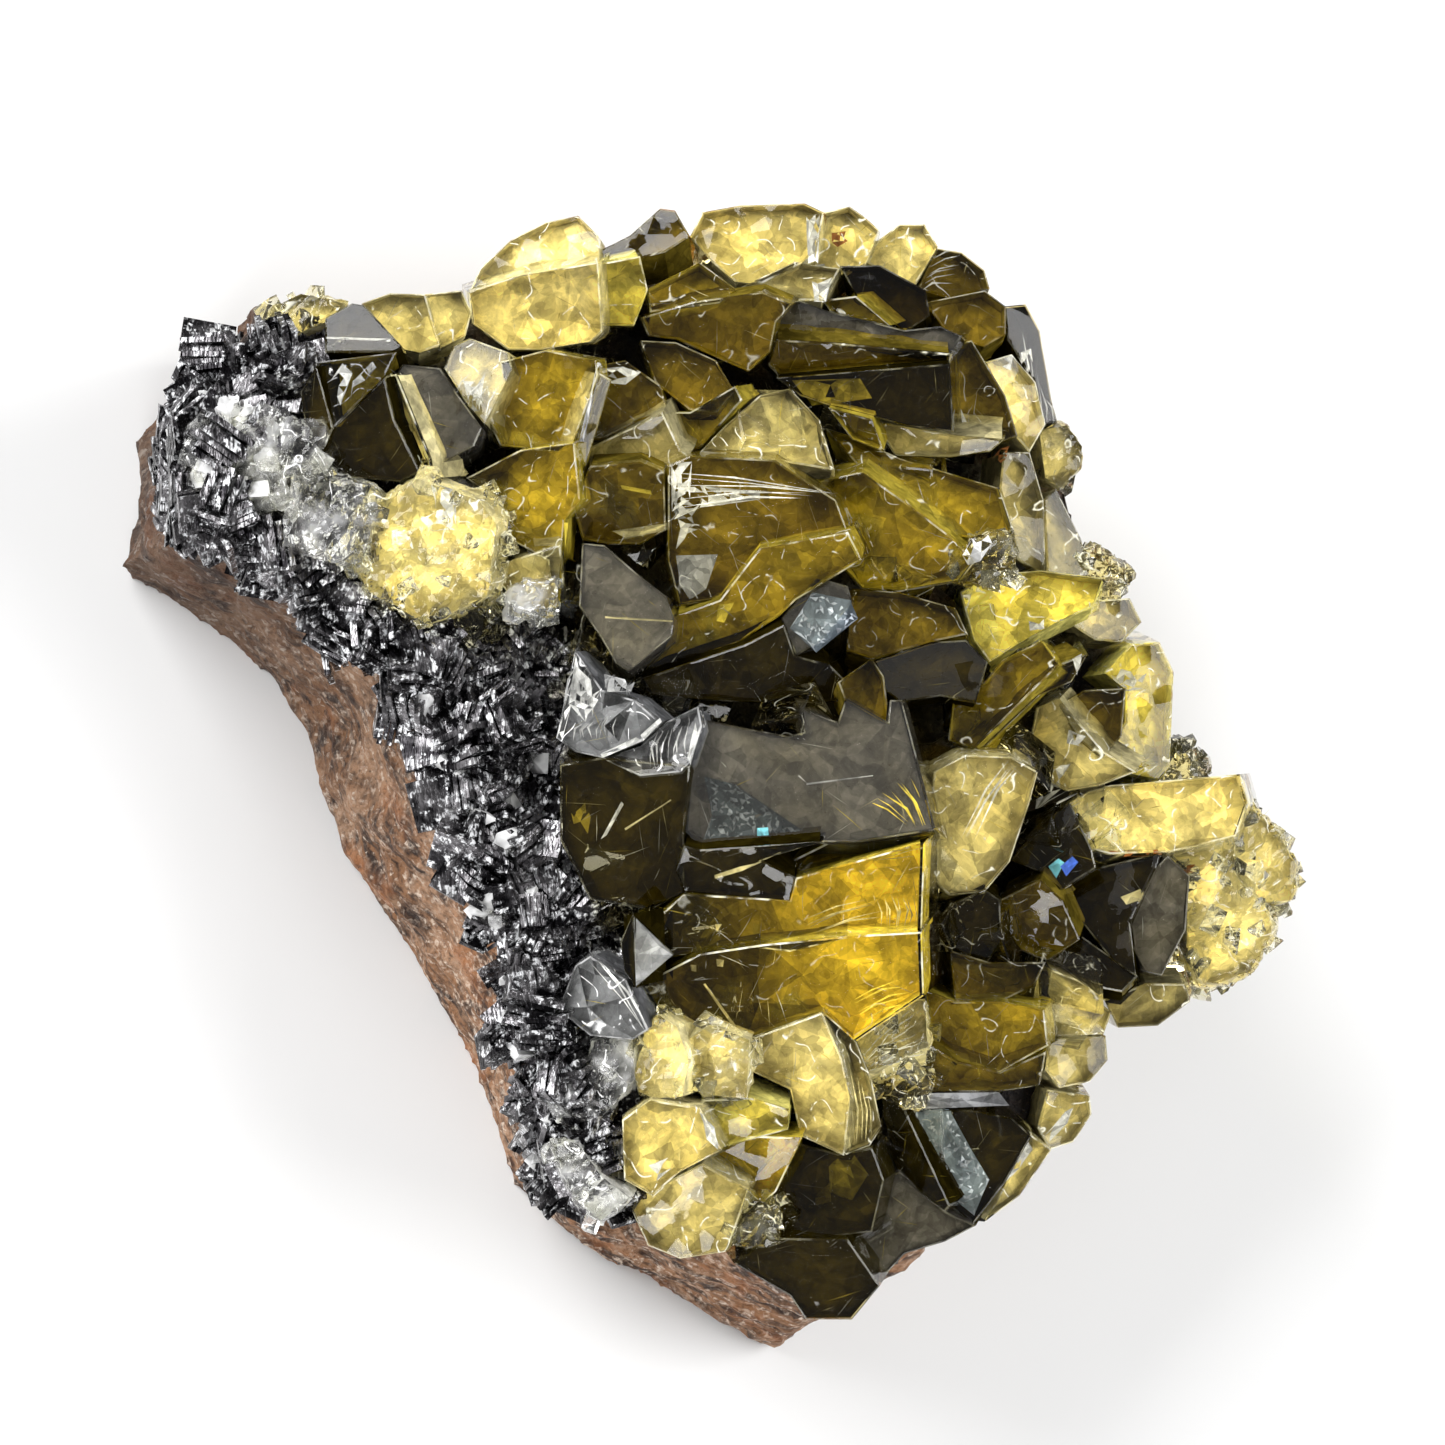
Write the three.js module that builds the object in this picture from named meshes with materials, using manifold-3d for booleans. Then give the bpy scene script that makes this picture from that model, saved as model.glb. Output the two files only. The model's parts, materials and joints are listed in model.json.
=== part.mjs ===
// A fluorite crystal cluster: yellow crystals grown together over a dark crust, on a broken piece of brown rock.
// It lies on the rock's flat base, crystals up. Units are millimetres, +Z is up, and the origin is at the middle of
// the base. The solids are the rock, the dark crust along its left edge, and the crystals, which are one solid.

import * as THREE from "three";
import { mergeVertices } from "three/addons/utils/BufferGeometryUtils.js";
import Module from "manifold-3d";

const wasm = await Module();
wasm.setup();

// Driving dimensions.
const MM_PER_PIXEL = 0.07; // in the picture, at the height in focus
const PICTURE_MIDDLE = 722.5; // pixels
const SIGHT_DISTANCE = 420; // from the eye to the point in focus
const SIGHT_HEIGHT = 30; // height of the point in focus over the base
const SIGHT_LEAN = 20; // degrees between upright and the line of sight
const SIGHT_TOWARD = 33; // the side of the picture that the object's upright leans to, in degrees from its right
const CENTRE_SHIFT = [4.07, 6.5]; // moves the middle of the whole object's box onto the origin
const ROCK_HEIGHT = 20; // from the base to the edge of the rock's top
const ROCK_DOME = 1.5; // how much higher the top is in its middle
const ROOT_HEIGHT = 16; // where the crystals' roots end
const WALL_SPREAD = 1.25; // how much wider a crystal is at its root
const CRUST_THICKNESS = 1.7;
const CONTACT_GAP = 0.3; // between solids that touch
const ROCK_STEPS = 52; // points round the rock
const BED_STEPS = 28; // points round the crystals' layer

// Places in the picture are pixels, x to the right and y down, and heights are millimetres above the base.
// The corners that the rock's base shows, from its upper left round the left, the lower end and the right.
const ROCK_BASE = [
  [200, 355], [170, 402], [145, 450], [136, 520], [133, 590], [190, 610], [238, 650], [290, 700], [325, 770],
  [345, 850], [385, 915], [440, 1000], [490, 1110], [510, 1180], [555, 1222], [600, 1250], [700, 1310],
  [770, 1345], [800, 1320], [850, 1290], [935, 1190], [1010, 1070], [1070, 940], [1075, 790], [1010, 610],
  [940, 460], [860, 370], [700, 310], [500, 335], [330, 370], [240, 365],
];

// Rings of the rock's side from the base up: the share of its height, and how far the ring stands out from the base.
const ROCK_RINGS = [[0, 0], [0.08, 0.6], [0.28, 0.4], [0.5, -0.5], [0.75, -0.9], [1, -1.2]];

// The edge of the crystals' common layer, from its upper left and the same way round, and the rings of that layer
// from its underside up, as a share of the outline and a height.
const BED_EDGE = [
  [330, 340], [262, 392], [206, 430], [204, 500], [290, 532], [365, 568], [430, 615], [535, 660], [565, 760], [565, 900], [590, 1000],
  [600, 1080], [620, 1180], [690, 1230], [780, 1264], [870, 1262], [960, 1210], [1048, 1128], [1070, 1040],
  [1120, 960], [1200, 920], [1210, 830], [1150, 760], [1105, 640], [1065, 545], [1030, 450], [1005, 360],
  [930, 300], [830, 270], [700, 262], [600, 290], [470, 310],
];
const BED_RINGS = [[0.86, 16], [0.97, 19], [0.94, 23.6], [0.6, 27.6]];

// The crystal faces that show: name, corners in the picture, height of the middle, and how many degrees the face
// leans from the line of sight, toward which side of the picture (0 right, 90 up).
const FACES = {
  // Along the upper edge.
  dark_trapezoid: [[[325, 318], [352, 303], [364, 305], [402, 346], [395, 352], [325, 352]], 26, 22, 110],
  olive_wedge: [[[362, 303], [390, 293], [425, 294], [440, 345], [420, 352], [400, 348]], 25.5, 14, 70],
  pale_wedge: [[[425, 294], [462, 290], [472, 312], [466, 335], [440, 348]], 25, 24, 40],
  pale_head_top: [[[470, 290], [480, 268], [510, 240], [545, 222], [578, 215], [598, 235], [600, 262],
    [520, 276]], 24.5, 30, 100],
  pale_head_front: [[[468, 292], [520, 275], [598, 262], [602, 332], [590, 342], [540, 350], [508, 350],
    [472, 324]], 26.5, 10, 250],
  grey_peak: [[[600, 250], [630, 235], [660, 208], [675, 210], [690, 236], [665, 252], [640, 258],
    [600, 266]], 25.5, 25, 100],
  yellow_front: [[[598, 264], [640, 256], [648, 290], [634, 326], [602, 326]], 27, 10, 300],
  olive_gable: [[[648, 288], [700, 262], [738, 290], [720, 302], [650, 312]], 27, 20, 80],
  bright_block: [[[690, 236], [702, 212], [740, 205], [805, 203], [824, 212], [816, 250], [800, 264],
    [762, 283], [735, 281], [712, 262]], 25.5, 18, 95],
  rusty_block: [[[824, 212], [850, 206], [864, 216], [880, 230], [866, 262], [820, 285], [804, 262],
    [816, 250]], 25, 22, 70],
  clear_gable: [[[738, 288], [795, 262], [840, 268], [822, 300], [770, 300]], 26.5, 24, 90],
  pale_pane: [[[878, 240], [900, 224], [925, 224], [938, 246], [915, 285], [890, 278], [868, 262]], 24.5, 22, 60],
  lined_pane: [[[938, 248], [962, 252], [985, 270], [990, 288], [950, 298], [918, 288]], 24, 28, 50],
  grey_blade: [[[840, 266], [880, 265], [926, 290], [930, 316], [905, 332], [884, 316], [858, 300]], 27.5, 8, 115],
  olive_sliver: [[[822, 300], [856, 296], [890, 326], [830, 312]], 27.5, 20, 200],
  long_dark_face: [[[640, 318], [692, 302], [762, 292], [792, 304], [776, 322], [770, 352], [748, 372],
    [716, 358], [676, 340], [648, 336]], 28, 14, 250],
  grey_ledge: [[[770, 306], [800, 300], [825, 310], [905, 330], [940, 326], [962, 336], [950, 356],
    [900, 351], [832, 342], [782, 341]], 28.5, 7, 105],
  brown_step: [[[776, 340], [835, 343], [952, 354], [950, 364], [778, 376], [768, 366]], 29, 25, 270],
  dark_block_face: [[[776, 378], [950, 364], [954, 432], [905, 426], [870, 416], [830, 406], [800, 396]],
    29.5, 15, 265],
  grey_step: [[[925, 302], [985, 290], [1006, 306], [1006, 334], [985, 346], [950, 336]], 26.5, 24, 60],
  tall_side: [[[952, 346], [972, 340], [1006, 396], [1018, 436], [1000, 442], [955, 432]], 28, 14, 20],
  pale_shoulder: [[[985, 362], [1012, 354], [1036, 382], [1046, 424], [1030, 452], [1016, 436], [1004, 398]],
    26, 26, 25],
  lined_edge: [[[1005, 306], [1026, 304], [1040, 330], [1052, 400], [1058, 422], [1044, 424], [1034, 380],
    [1008, 340]], 23.5, 34, 20],
  crumbly_tip: [[[264, 326], [272, 306], [300, 292], [345, 302], [328, 320], [272, 343]], 23.5, 18, 120],
  // The right side, downwards.
  edge_crumb: [[[1040, 430], [1068, 424], [1084, 446], [1080, 468], [1062, 488], [1046, 478]], 22.5, 18, 10],
  clear_cap: [[[1248, 802], [1282, 836], [1299, 866], [1294, 900], [1262, 905], [1232, 870], [1236, 836]],
    22.5, 20, 0],
  crumbly_foot: [[[1170, 852], [1236, 836], [1232, 870], [1262, 905], [1278, 930], [1250, 975], [1205, 988],
    [1188, 960], [1186, 868]], 22, 18, 300],
  pale_knob: [[[1104, 1000], [1146, 984], [1184, 984], [1190, 1002], [1158, 1026], [1118, 1028]], 22, 15, 280],
  small_yellow: [[[828, 408], [872, 420], [884, 452], [852, 440]], 29, 24, 250],
  pale_band: [[[872, 422], [955, 436], [1004, 440], [990, 452], [950, 458], [895, 456]], 28.6, 25, 265],
  olive_slope: [[[826, 428], [852, 436], [900, 458], [1000, 488], [1014, 530], [985, 540], [950, 534],
    [905, 500], [862, 470]], 28, 15, 60],
  olive_right: [[[812, 482], [862, 472], [905, 502], [950, 536], [975, 562], [960, 582], [900, 592],
    [862, 590], [840, 566], [826, 520]], 28.6, 18, 250],
  pale_column: [[[1004, 452], [1030, 452], [1044, 500], [1046, 574], [1018, 560], [1012, 530], [1000, 488]],
    25.5, 20, 10],
  pale_fin: [[[1044, 500], [1056, 488], [1082, 540], [1090, 582], [1048, 576]], 23.5, 30, 15],
  bright_blade: [[[960, 592], [985, 575], [1040, 570], [1104, 578], [1096, 602], [1060, 620], [1020, 642],
    [990, 662], [974, 640], [966, 612]], 27, 16, 80],
  pale_corner: [[[1062, 618], [1100, 600], [1130, 598], [1142, 622], [1122, 642], [1096, 640]], 24, 22, 20],
  prism_upper: [[[952, 700], [984, 682], [1002, 660], [1042, 640], [1060, 664], [975, 748], [948, 740]],
    29, 14, 150],
  prism_lower: [[[975, 748], [1060, 664], [1088, 654], [1072, 682], [1040, 696], [985, 748], [962, 756]],
    28.5, 22, 320],
  olive_cube: [[[1060, 704], [1084, 690], [1126, 688], [1122, 736], [1104, 756], [1082, 738]], 27, 12, 50],
  shattered_face: [[[1036, 708], [1058, 698], [1104, 752], [1136, 772], [1100, 786], [1066, 792], [1044, 780],
    [1030, 740]], 26.5, 20, 220],
  orange_block: [[[1106, 672], [1132, 644], [1160, 642], [1174, 672], [1170, 768], [1160, 780], [1120, 772],
    [1108, 752], [1126, 722], [1126, 688]], 24.5, 22, 10],
  long_block: [[[1070, 802], [1086, 790], [1110, 785], [1240, 774], [1248, 802], [1236, 836], [1170, 852],
    [1110, 854], [1088, 848], [1072, 826]], 25.5, 10, 75],
  grey_rhombus: [[[1130, 922], [1156, 868], [1168, 856], [1190, 876], [1186, 930], [1162, 976], [1146, 972],
    [1130, 942]], 25, 9, 330],
  dark_pocket: [[[1096, 868], [1162, 852], [1156, 868], [1130, 922], [1136, 976], [1112, 960], [1080, 920],
    [1060, 900]], 24.8, 14, 130],
  rainbow_face: [[[1010, 860], [1036, 826], [1070, 802], [1092, 850], [1096, 868], [1060, 890], [1040, 872]],
    26, 12, 140],
  pocket_wedge: [[[1000, 900], [1040, 880], [1062, 900], [1080, 940], [1046, 962], [1002, 942]], 25.5, 20, 240],
  pocket_pane: [[[950, 905], [985, 890], [1000, 900], [1002, 942], [985, 966], [950, 946], [938, 930]],
    26.5, 20, 280],
  pocket_sill: [[[950, 950], [990, 962], [1046, 962], [1035, 985], [1000, 1002], [955, 1000]], 26, 14, 60],
  pocket_edge: [[[1046, 962], [1082, 936], [1138, 976], [1122, 992], [1090, 986]], 24, 15, 100],
  pale_cube: [[[934, 772], [965, 755], [1012, 757], [1038, 772], [1030, 802], [1010, 862], [985, 892],
    [950, 896], [934, 880], [930, 830]], 29, 12, 330],
  // The middle of the upper half.
  crumbly_head: [[[354, 510], [392, 496], [418, 478], [480, 500], [498, 524], [488, 598], [428, 628],
    [366, 592], [350, 560]], 27.8, 12, 230],
  lower_triangle: [[[316, 362], [396, 352], [384, 376], [333, 428]], 27, 15, 100],
  dark_splinter: [[[300, 392], [316, 366], [333, 428], [320, 458], [306, 432]], 26.4, 20, 200],
  dark_hollow: [[[333, 428], [384, 378], [394, 420], [420, 472], [400, 482], [350, 478], [322, 458]],
    27.4, 18, 215],
  grey_pane: [[[396, 374], [402, 364], [440, 368], [456, 392], [482, 428], [474, 446], [436, 466], [430, 458]],
    27.5, 7, 120],
  grey_pane_side: [[[384, 376], [396, 374], [430, 458], [434, 480], [420, 472], [394, 420]], 27.6, 30, 190],
  pale_chip: [[[452, 346], [470, 338], [508, 352], [512, 368], [484, 424], [464, 400], [444, 368]], 27, 20, 140],
  gold_face_upper: [[[500, 362], [545, 350], [596, 360], [598, 376], [574, 440], [560, 452], [500, 446],
    [488, 420], [505, 385]], 28.6, 9, 200],
  gold_face_lower: [[[466, 478], [520, 450], [574, 442], [580, 500], [564, 520], [556, 608], [548, 560],
    [510, 540], [496, 500]], 28, 13, 205],
  gold_face_rim: [[[598, 372], [612, 380], [575, 505], [566, 500], [576, 440]], 28.5, 30, 340],
  pale_foot: [[[492, 575], [512, 560], [560, 545], [566, 600], [550, 609], [520, 606]], 27, 14, 250],
  smoky_pane: [[[598, 365], [625, 360], [660, 385], [668, 412], [640, 420], [600, 440], [580, 440]], 27.6, 12, 130],
  pale_ridge: [[[580, 452], [640, 424], [662, 412], [680, 450], [690, 456], [664, 470], [640, 462], [578, 466]],
    28.2, 22, 240],
  smoky_gable: [[[640, 340], [676, 342], [716, 360], [735, 392], [718, 412], [690, 410], [655, 382]], 28.2, 14, 100],
  lined_wedge: [[[662, 412], [690, 412], [735, 386], [742, 400], [700, 448], [684, 456]], 28.6, 18, 200],
  dark_shelf: [[[572, 505], [590, 466], [640, 462], [664, 472], [666, 530], [640, 545], [606, 545], [582, 540]],
    28.4, 16, 260],
  // The middle.
  grey_hexagon: [[[582, 543], [604, 545], [640, 576], [666, 596], [674, 618], [672, 636], [628, 672],
    [616, 664], [600, 636], [579, 606]], 30, 6, 125],
  feather_top: [[[700, 452], [725, 425], [760, 395], [790, 388], [820, 420], [835, 470], [775, 460]], 29.5, 20, 70],
  feather_face: [[[668, 466], [690, 456], [775, 460], [836, 500], [848, 532], [760, 548], [720, 600],
    [680, 606], [668, 560]], 30.5, 8, 280],
  feather_foot: [[[720, 600], [760, 548], [848, 532], [862, 560], [796, 600], [780, 616], [740, 642],
    [640, 676], [672, 642], [676, 616]], 30.4, 12, 265],
  dark_ravine: [[[640, 680], [700, 660], [745, 645], [784, 625], [795, 656], [830, 665], [845, 680],
    [838, 702], [800, 706], [700, 700], [650, 695]], 29.4, 20, 285],
  light_pane: [[[781, 618], [817, 577], [848, 586], [852, 602], [822, 640], [796, 656]], 31.4, 7, 118],
  amber_corner: [[[850, 588], [900, 592], [956, 608], [968, 634], [930, 642], [872, 658], [846, 650],
    [852, 604]], 29.4, 18, 80],
  dark_pane: [[[874, 660], [930, 642], [966, 640], [988, 662], [976, 702], [940, 696], [900, 702], [884, 690]],
    30, 7, 100],
  small_triangle: [[[838, 682], [872, 658], [884, 676], [890, 724], [866, 716], [846, 702]], 32.2, 14, 60],
  great_grey_face: [[[697, 718], [745, 728], [788, 736], [804, 732], [800, 708], [838, 722], [846, 698],
    [888, 722], [890, 700], [902, 700], [936, 830], [860, 842], [822, 842], [700, 852], [684, 832],
    [690, 762]], 32, 6, 110],
  under_ledge: [[[684, 846], [700, 850], [822, 842], [760, 860], [796, 878], [790, 902], [684, 894],
    [676, 870]], 30.5, 22, 262],
  black_interior: [[[560, 765], [600, 758], [690, 766], [684, 832], [684, 894], [650, 910], [590, 900],
    [560, 840]], 27.8, 12, 230],
  ribbed_shell: [[[556, 738], [575, 650], [602, 690], [634, 700], [660, 722], [640, 742], [602, 758],
    [575, 752]], 29.5, 16, 190],
  clear_splinter: [[[604, 758], [640, 746], [666, 722], [698, 706], [702, 726], [690, 762], [680, 772],
    [640, 776]], 30.5, 14, 150],
  // The golden window and what is round it.
  window_lintel: [[[790, 862], [830, 842], [935, 834], [925, 846], [798, 880]], 30.6, 30, 275],
  window_upper: [[[655, 920], [684, 894], [790, 900], [796, 878], [925, 842], [922, 932], [850, 936],
    [790, 950], [740, 944], [652, 962]], 30, 8, 272],
  window_lower: [[[640, 985], [700, 954], [760, 945], [850, 936], [922, 932], [924, 996], [856, 1042],
    [822, 1013], [748, 1040], [690, 1030], [656, 1010]], 29.4, 13, 268],
  light_triangle: [[[633, 913], [674, 954], [636, 988]], 30.6, 8, 20],
  light_triangle_side: [[[620, 942], [633, 913], [636, 988], [624, 972]], 30, 30, 190],
  white_edged: [[[575, 966], [590, 956], [626, 980], [648, 1030], [632, 1040], [590, 1036], [558, 1010]],
    27.8, 16, 200],
  bright_splinters: [[[856, 1040], [900, 1000], [926, 996], [928, 1046], [900, 1060], [868, 1070]], 27.5, 24, 90],
  // The lower half.
  sparkling_flank: [[[590, 1040], [632, 1036], [634, 1080], [616, 1100], [590, 1130], [580, 1090]], 25.5, 18, 200],
  yellow_heart: [[[622, 1120], [650, 1100], [700, 1108], [722, 1150], [680, 1172], [652, 1196], [624, 1180]],
    27, 10, 220],
  yellow_brow: [[[700, 1100], [750, 1098], [790, 1110], [788, 1130], [722, 1148]], 27, 18, 260],
  silver_heel: [[[552, 1150], [575, 1142], [600, 1176], [630, 1200], [600, 1222], [574, 1200]], 23.5, 16, 220],
  tail_piece: [[[1048, 1090], [1090, 1096], [1092, 1114], [1074, 1142], [1050, 1150], [1038, 1128]],
    21.5, 18, 340],
  yellow_tooth: [[[634, 1070], [644, 1030], [656, 1014], [676, 1026], [688, 1060], [682, 1098], [650, 1100],
    [636, 1090]], 27.5, 20, 190],
  white_cube: [[[686, 1040], [710, 1024], [750, 1040], [747, 1100], [700, 1096], [690, 1076]], 28, 10, 230],
  pale_lump_front: [[[748, 1040], [822, 1013], [842, 1060], [850, 1100], [844, 1156], [800, 1136], [790, 1090],
    [752, 1072]], 28, 12, 230],
  pale_lump_side: [[[822, 1013], [856, 1040], [872, 1080], [882, 1128], [870, 1146], [844, 1156], [850, 1100],
    [842, 1060]], 27.4, 22, 340],
  tan_wedge: [[[700, 1162], [750, 1136], [802, 1138], [776, 1192], [762, 1204], [742, 1188]], 25, 20, 240],
  tan_lump: [[[632, 1212], [644, 1194], [702, 1164], [748, 1190], [736, 1226], [726, 1252], [680, 1259],
    [648, 1246]], 23.5, 18, 240],
  dark_glow: [[[768, 1192], [795, 1142], [838, 1154], [872, 1148], [884, 1180], [872, 1232], [822, 1238],
    [782, 1230]], 24.5, 14, 200],
  rough_foot: [[[734, 1264], [770, 1238], [848, 1240], [880, 1286], [852, 1320], [806, 1320], [790, 1296]],
    22.6, 20, 270],
  grey_slab: [[[872, 1180], [900, 1172], [946, 1212], [976, 1226], [945, 1242], [905, 1254], [872, 1290],
    [852, 1300], [850, 1240]], 21.8, 14, 300],
  speckled_triangle: [[[906, 1112], [972, 1110], [1012, 1118], [1032, 1136], [1006, 1182], [972, 1226],
    [950, 1206]], 23.5, 12, 330],
  speckled_side: [[[880, 1082], [910, 1094], [906, 1112], [950, 1206], [944, 1212], [900, 1178], [884, 1140]],
    24, 24, 200],
  white_sliver: [[[1006, 1184], [1030, 1134], [1052, 1150], [1020, 1196], [985, 1222]], 21, 30, 330],
  olive_gem_top: [[[924, 990], [955, 1002], [1000, 1002], [1044, 1010], [1048, 1046], [1000, 1072],
    [958, 1062], [930, 1046]], 26.5, 12, 215],
  olive_gem_foot: [[[930, 1046], [958, 1062], [1000, 1072], [1046, 1052], [1040, 1086], [1000, 1092],
    [910, 1092], [880, 1080], [895, 1050]], 25.5, 25, 280],
  pale_gem: [[[1050, 972], [1075, 982], [1112, 1012], [1104, 1034], [1050, 1036], [1044, 1000]], 24, 18, 20],
  pale_gem_foot: [[[1050, 1038], [1106, 1036], [1108, 1060], [1090, 1082], [1060, 1088], [1046, 1070]],
    22.5, 20, 10],
};

// Broken pieces along the edges: middle in the picture, height, length, width and depth, and the length's turn.
const LUMPS = [
  [222, 440, 23.4, 6, 5, 6, 60], [282, 450, 25, 6.4, 4.6, 6, 0], [262, 488, 24.4, 5, 4.4, 6, 30],
  [330, 516, 26, 6, 7, 7, 70], [984, 560, 28, 4.4, 3.6, 6, 10], [1104, 578, 22.5, 4, 3.4, 6, -30],
  [1186, 766, 20, 3, 3, 5, 0], [900, 1084, 25.5, 4.6, 2.6, 6, -10], [756, 1222, 23.6, 3.4, 3.4, 5, 0],
  [530, 600, 26.8, 4, 3, 6, 0],
];

// Corners of small cubes that stand up between the faces: tip in the picture, height, edge length, spin and lean.
const CORNERS = [
  [800, 716, 32.6, 4, 20, 12], [745, 440, 30, 4.6, 70, 18], [1012, 760, 29, 4, 40, 12],
  [1000, 930, 27.4, 5, 15, 20], [1040, 1000, 26.2, 5, 60, 20], [930, 470, 28.8, 4, 5, 20],
  [480, 400, 27.6, 4, 25, 20], [880, 1140, 25.6, 5, 20, 15],
];

// The dark crust: the part of the rock that it covers, as it shows in the picture, and the line of its crest.
const CRUST_PATCH = [
  [262, 338], [222, 345], [190, 430], [172, 530], [255, 552], [300, 592], [385, 655], [443, 735], [456, 860],
  [504, 950], [556, 1050], [530, 1150], [560, 1190], [620, 1180], [650, 1000], [640, 800], [560, 650],
  [440, 560], [380, 420], [320, 335],
];
const CRUST_CREST = [
  [275, 350], [225, 385], [205, 470], [215, 530], [300, 570], [380, 620], [455, 670], [480, 740], [480, 820],
  [500, 890], [530, 960], [565, 1030], [560, 1110],
];
const CRUST_SHARDS = 24;
const CRUST_SHARD_SPREAD = 2.6; // to each side of the crest
const CRUST_SHARD_HEIGHT = [22.3, 24.6];
const CRUST_SHARD_LENGTH = [2.4, 4.8];
const CRUST_SHARD_WIDTH = [1.2, 2.6];

const rad = THREE.MathUtils.degToRad;
const UP = new THREE.Vector3(0, 0, 1);

// Repeatable numbers from 0 to 1.
function seeded(seed) {
  let state = seed;
  return () => (state = (1664525 * state + 1013904223) % 4294967296) / 4294967296;
}

const between = (next, [low, high]) => low + (high - low) * next();

// A turn that leans upright by some degrees toward a side of the picture.
function leanTurn(degrees, side) {
  const axis = new THREE.Vector3(-Math.sin(rad(side)), Math.cos(rad(side)), 0);
  return new THREE.Quaternion().setFromAxisAngle(axis, rad(degrees));
}

// Turns the picture's axes, right, up and toward the eye, into the part's.
const pictureTurn = leanTurn(SIGHT_LEAN, SIGHT_TOWARD).invert();
const focusDepth = SIGHT_HEIGHT / Math.cos(rad(SIGHT_LEAN));
const eye = new THREE.Vector3(0, 0, focusDepth + SIGHT_DISTANCE).applyQuaternion(pictureTurn);

// Where the line of sight through a place in the picture meets a plane.
function seenOn(x, y, point, normal) {
  const [u, v] = [(x - PICTURE_MIDDLE) * MM_PER_PIXEL, (PICTURE_MIDDLE - y) * MM_PER_PIXEL];
  const along = new THREE.Vector3(u, v, focusDepth).applyQuaternion(pictureTurn).sub(eye);
  const share = point.clone().sub(eye).dot(normal) / along.dot(normal);
  return eye.clone().addScaledVector(along, share);
}

const seenAt = (x, y, height) => seenOn(x, y, new THREE.Vector3(0, 0, height), UP);

const middleOf = (points) => points.reduce((sum, p) => sum.add(p), new THREE.Vector3()).divideScalar(points.length);

function solidOf(geometry) {
  const bare = new THREE.BufferGeometry();
  bare.setAttribute("position", geometry.getAttribute("position"));
  bare.setIndex(geometry.getIndex());
  const merged = mergeVertices(bare, 1e-4);
  const vertProperties = merged.getAttribute("position").array;
  return new wasm.Manifold(new wasm.Mesh({ numProp: 3, vertProperties, triVerts: merged.getIndex().array }));
}

function geometryOf(solid) {
  const { numProp, vertProperties, triVerts } = solid.getMesh();
  const geometry = new THREE.BufferGeometry();
  const position = new Float32Array((vertProperties.length / numProp) * 3);
  for (let i = 0; i < position.length / 3; i++) {
    position.set(vertProperties.subarray(i * numProp, i * numProp + 3), i * 3);
  }
  geometry.setAttribute("position", new THREE.BufferAttribute(position, 3));
  geometry.setIndex(new THREE.BufferAttribute(triVerts, 1));
  return geometry;
}

const joined = (solids) => solids.reduce((whole, solid) => whole.add(solid));

// The largest body of a solid, without the chips that a cut leaves.
const mainBody = (solid) => solid.decompose().sort((a, b) => b.volume() - a.volume())[0];

// Points at equal steps along a smooth closed curve through the places, at one height.
function roundOutline(places, height, steps) {
  const curve = new THREE.CatmullRomCurve3(places.map(([x, y]) => seenAt(x, y, height)), true, "centripetal");
  return curve.getSpacedPoints(steps).slice(0, steps);
}

// A closed solid through rings with as many points each, with a point in the middle of both ends.
function loftGeometry(rings, bottomMiddle, topMiddle) {
  const steps = rings[0].length;
  const points = [...rings.flat(), bottomMiddle, topMiddle];
  const bottom = points.length - 2;
  const top = points.length - 1;
  const last = (rings.length - 1) * steps;
  const faces = [];
  for (let i = 0; i < steps; i++) {
    const j = (i + 1) % steps;
    faces.push(bottom, j, i, top, last + i, last + j);
    for (let r = 0; r < rings.length - 1; r++) {
      const [a, b, c, d] = [r * steps + i, r * steps + j, (r + 1) * steps + j, (r + 1) * steps + i];
      faces.push(a, b, c, a, c, d);
    }
  }
  const geometry = new THREE.BufferGeometry().setFromPoints(points);
  geometry.setIndex(faces);
  return geometry;
}

// A closed solid between a flat polygon and its copy below, whose corners pair up.
function prismGeometry(top, bottom) {
  const turn = new THREE.Quaternion().setFromUnitVectors(middleOf(top).sub(middleOf(bottom)).normalize(), UP);
  const flat = top.map((p) => p.clone().applyQuaternion(turn)).map((p) => new THREE.Vector2(p.x, p.y));
  const clockwise = THREE.ShapeUtils.isClockWise(flat);
  const [tops, bottoms, plan] = [top, bottom, flat].map((list) => (clockwise ? [...list].reverse() : list));
  const count = plan.length;
  const faces = [];
  for (const [a, b, c] of THREE.ShapeUtils.triangulateShape(plan, [])) {
    faces.push(a, b, c, count + c, count + b, count + a);
  }
  for (let i = 0; i < count; i++) {
    const j = (i + 1) % count;
    faces.push(i, count + i, count + j, i, count + j, j);
  }
  const geometry = new THREE.BufferGeometry().setFromPoints([...tops, ...bottoms]);
  geometry.setIndex(faces);
  return geometry;
}

// The rock: a broken piece with a flat base, uneven sides and a low domed top. grow makes it that much larger.
function rockSolid(grow = 0) {
  const base = roundOutline(ROCK_BASE, 0, ROCK_STEPS);
  const middle = middleOf(base);
  const next = seeded(7);
  const uneven = base.map(() => between(next, [-0.9, 0.9]));
  const outward = base.map((p) => p.clone().sub(middle).setZ(0).normalize());
  const top = ROCK_HEIGHT + grow;
  const sides = ROCK_RINGS.map(([share, stand], k) =>
    base.map((p, i) => {
      const push = k === 0 ? 0 : stand + uneven[(i * 5 + k * 17) % ROCK_STEPS];
      return p.clone().addScaledVector(outward[i], push + grow).setZ(share * top);
    }),
  );
  return solidOf(loftGeometry(sides, middle.clone(), middle.clone().setZ(top + ROCK_DOME)));
}

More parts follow.
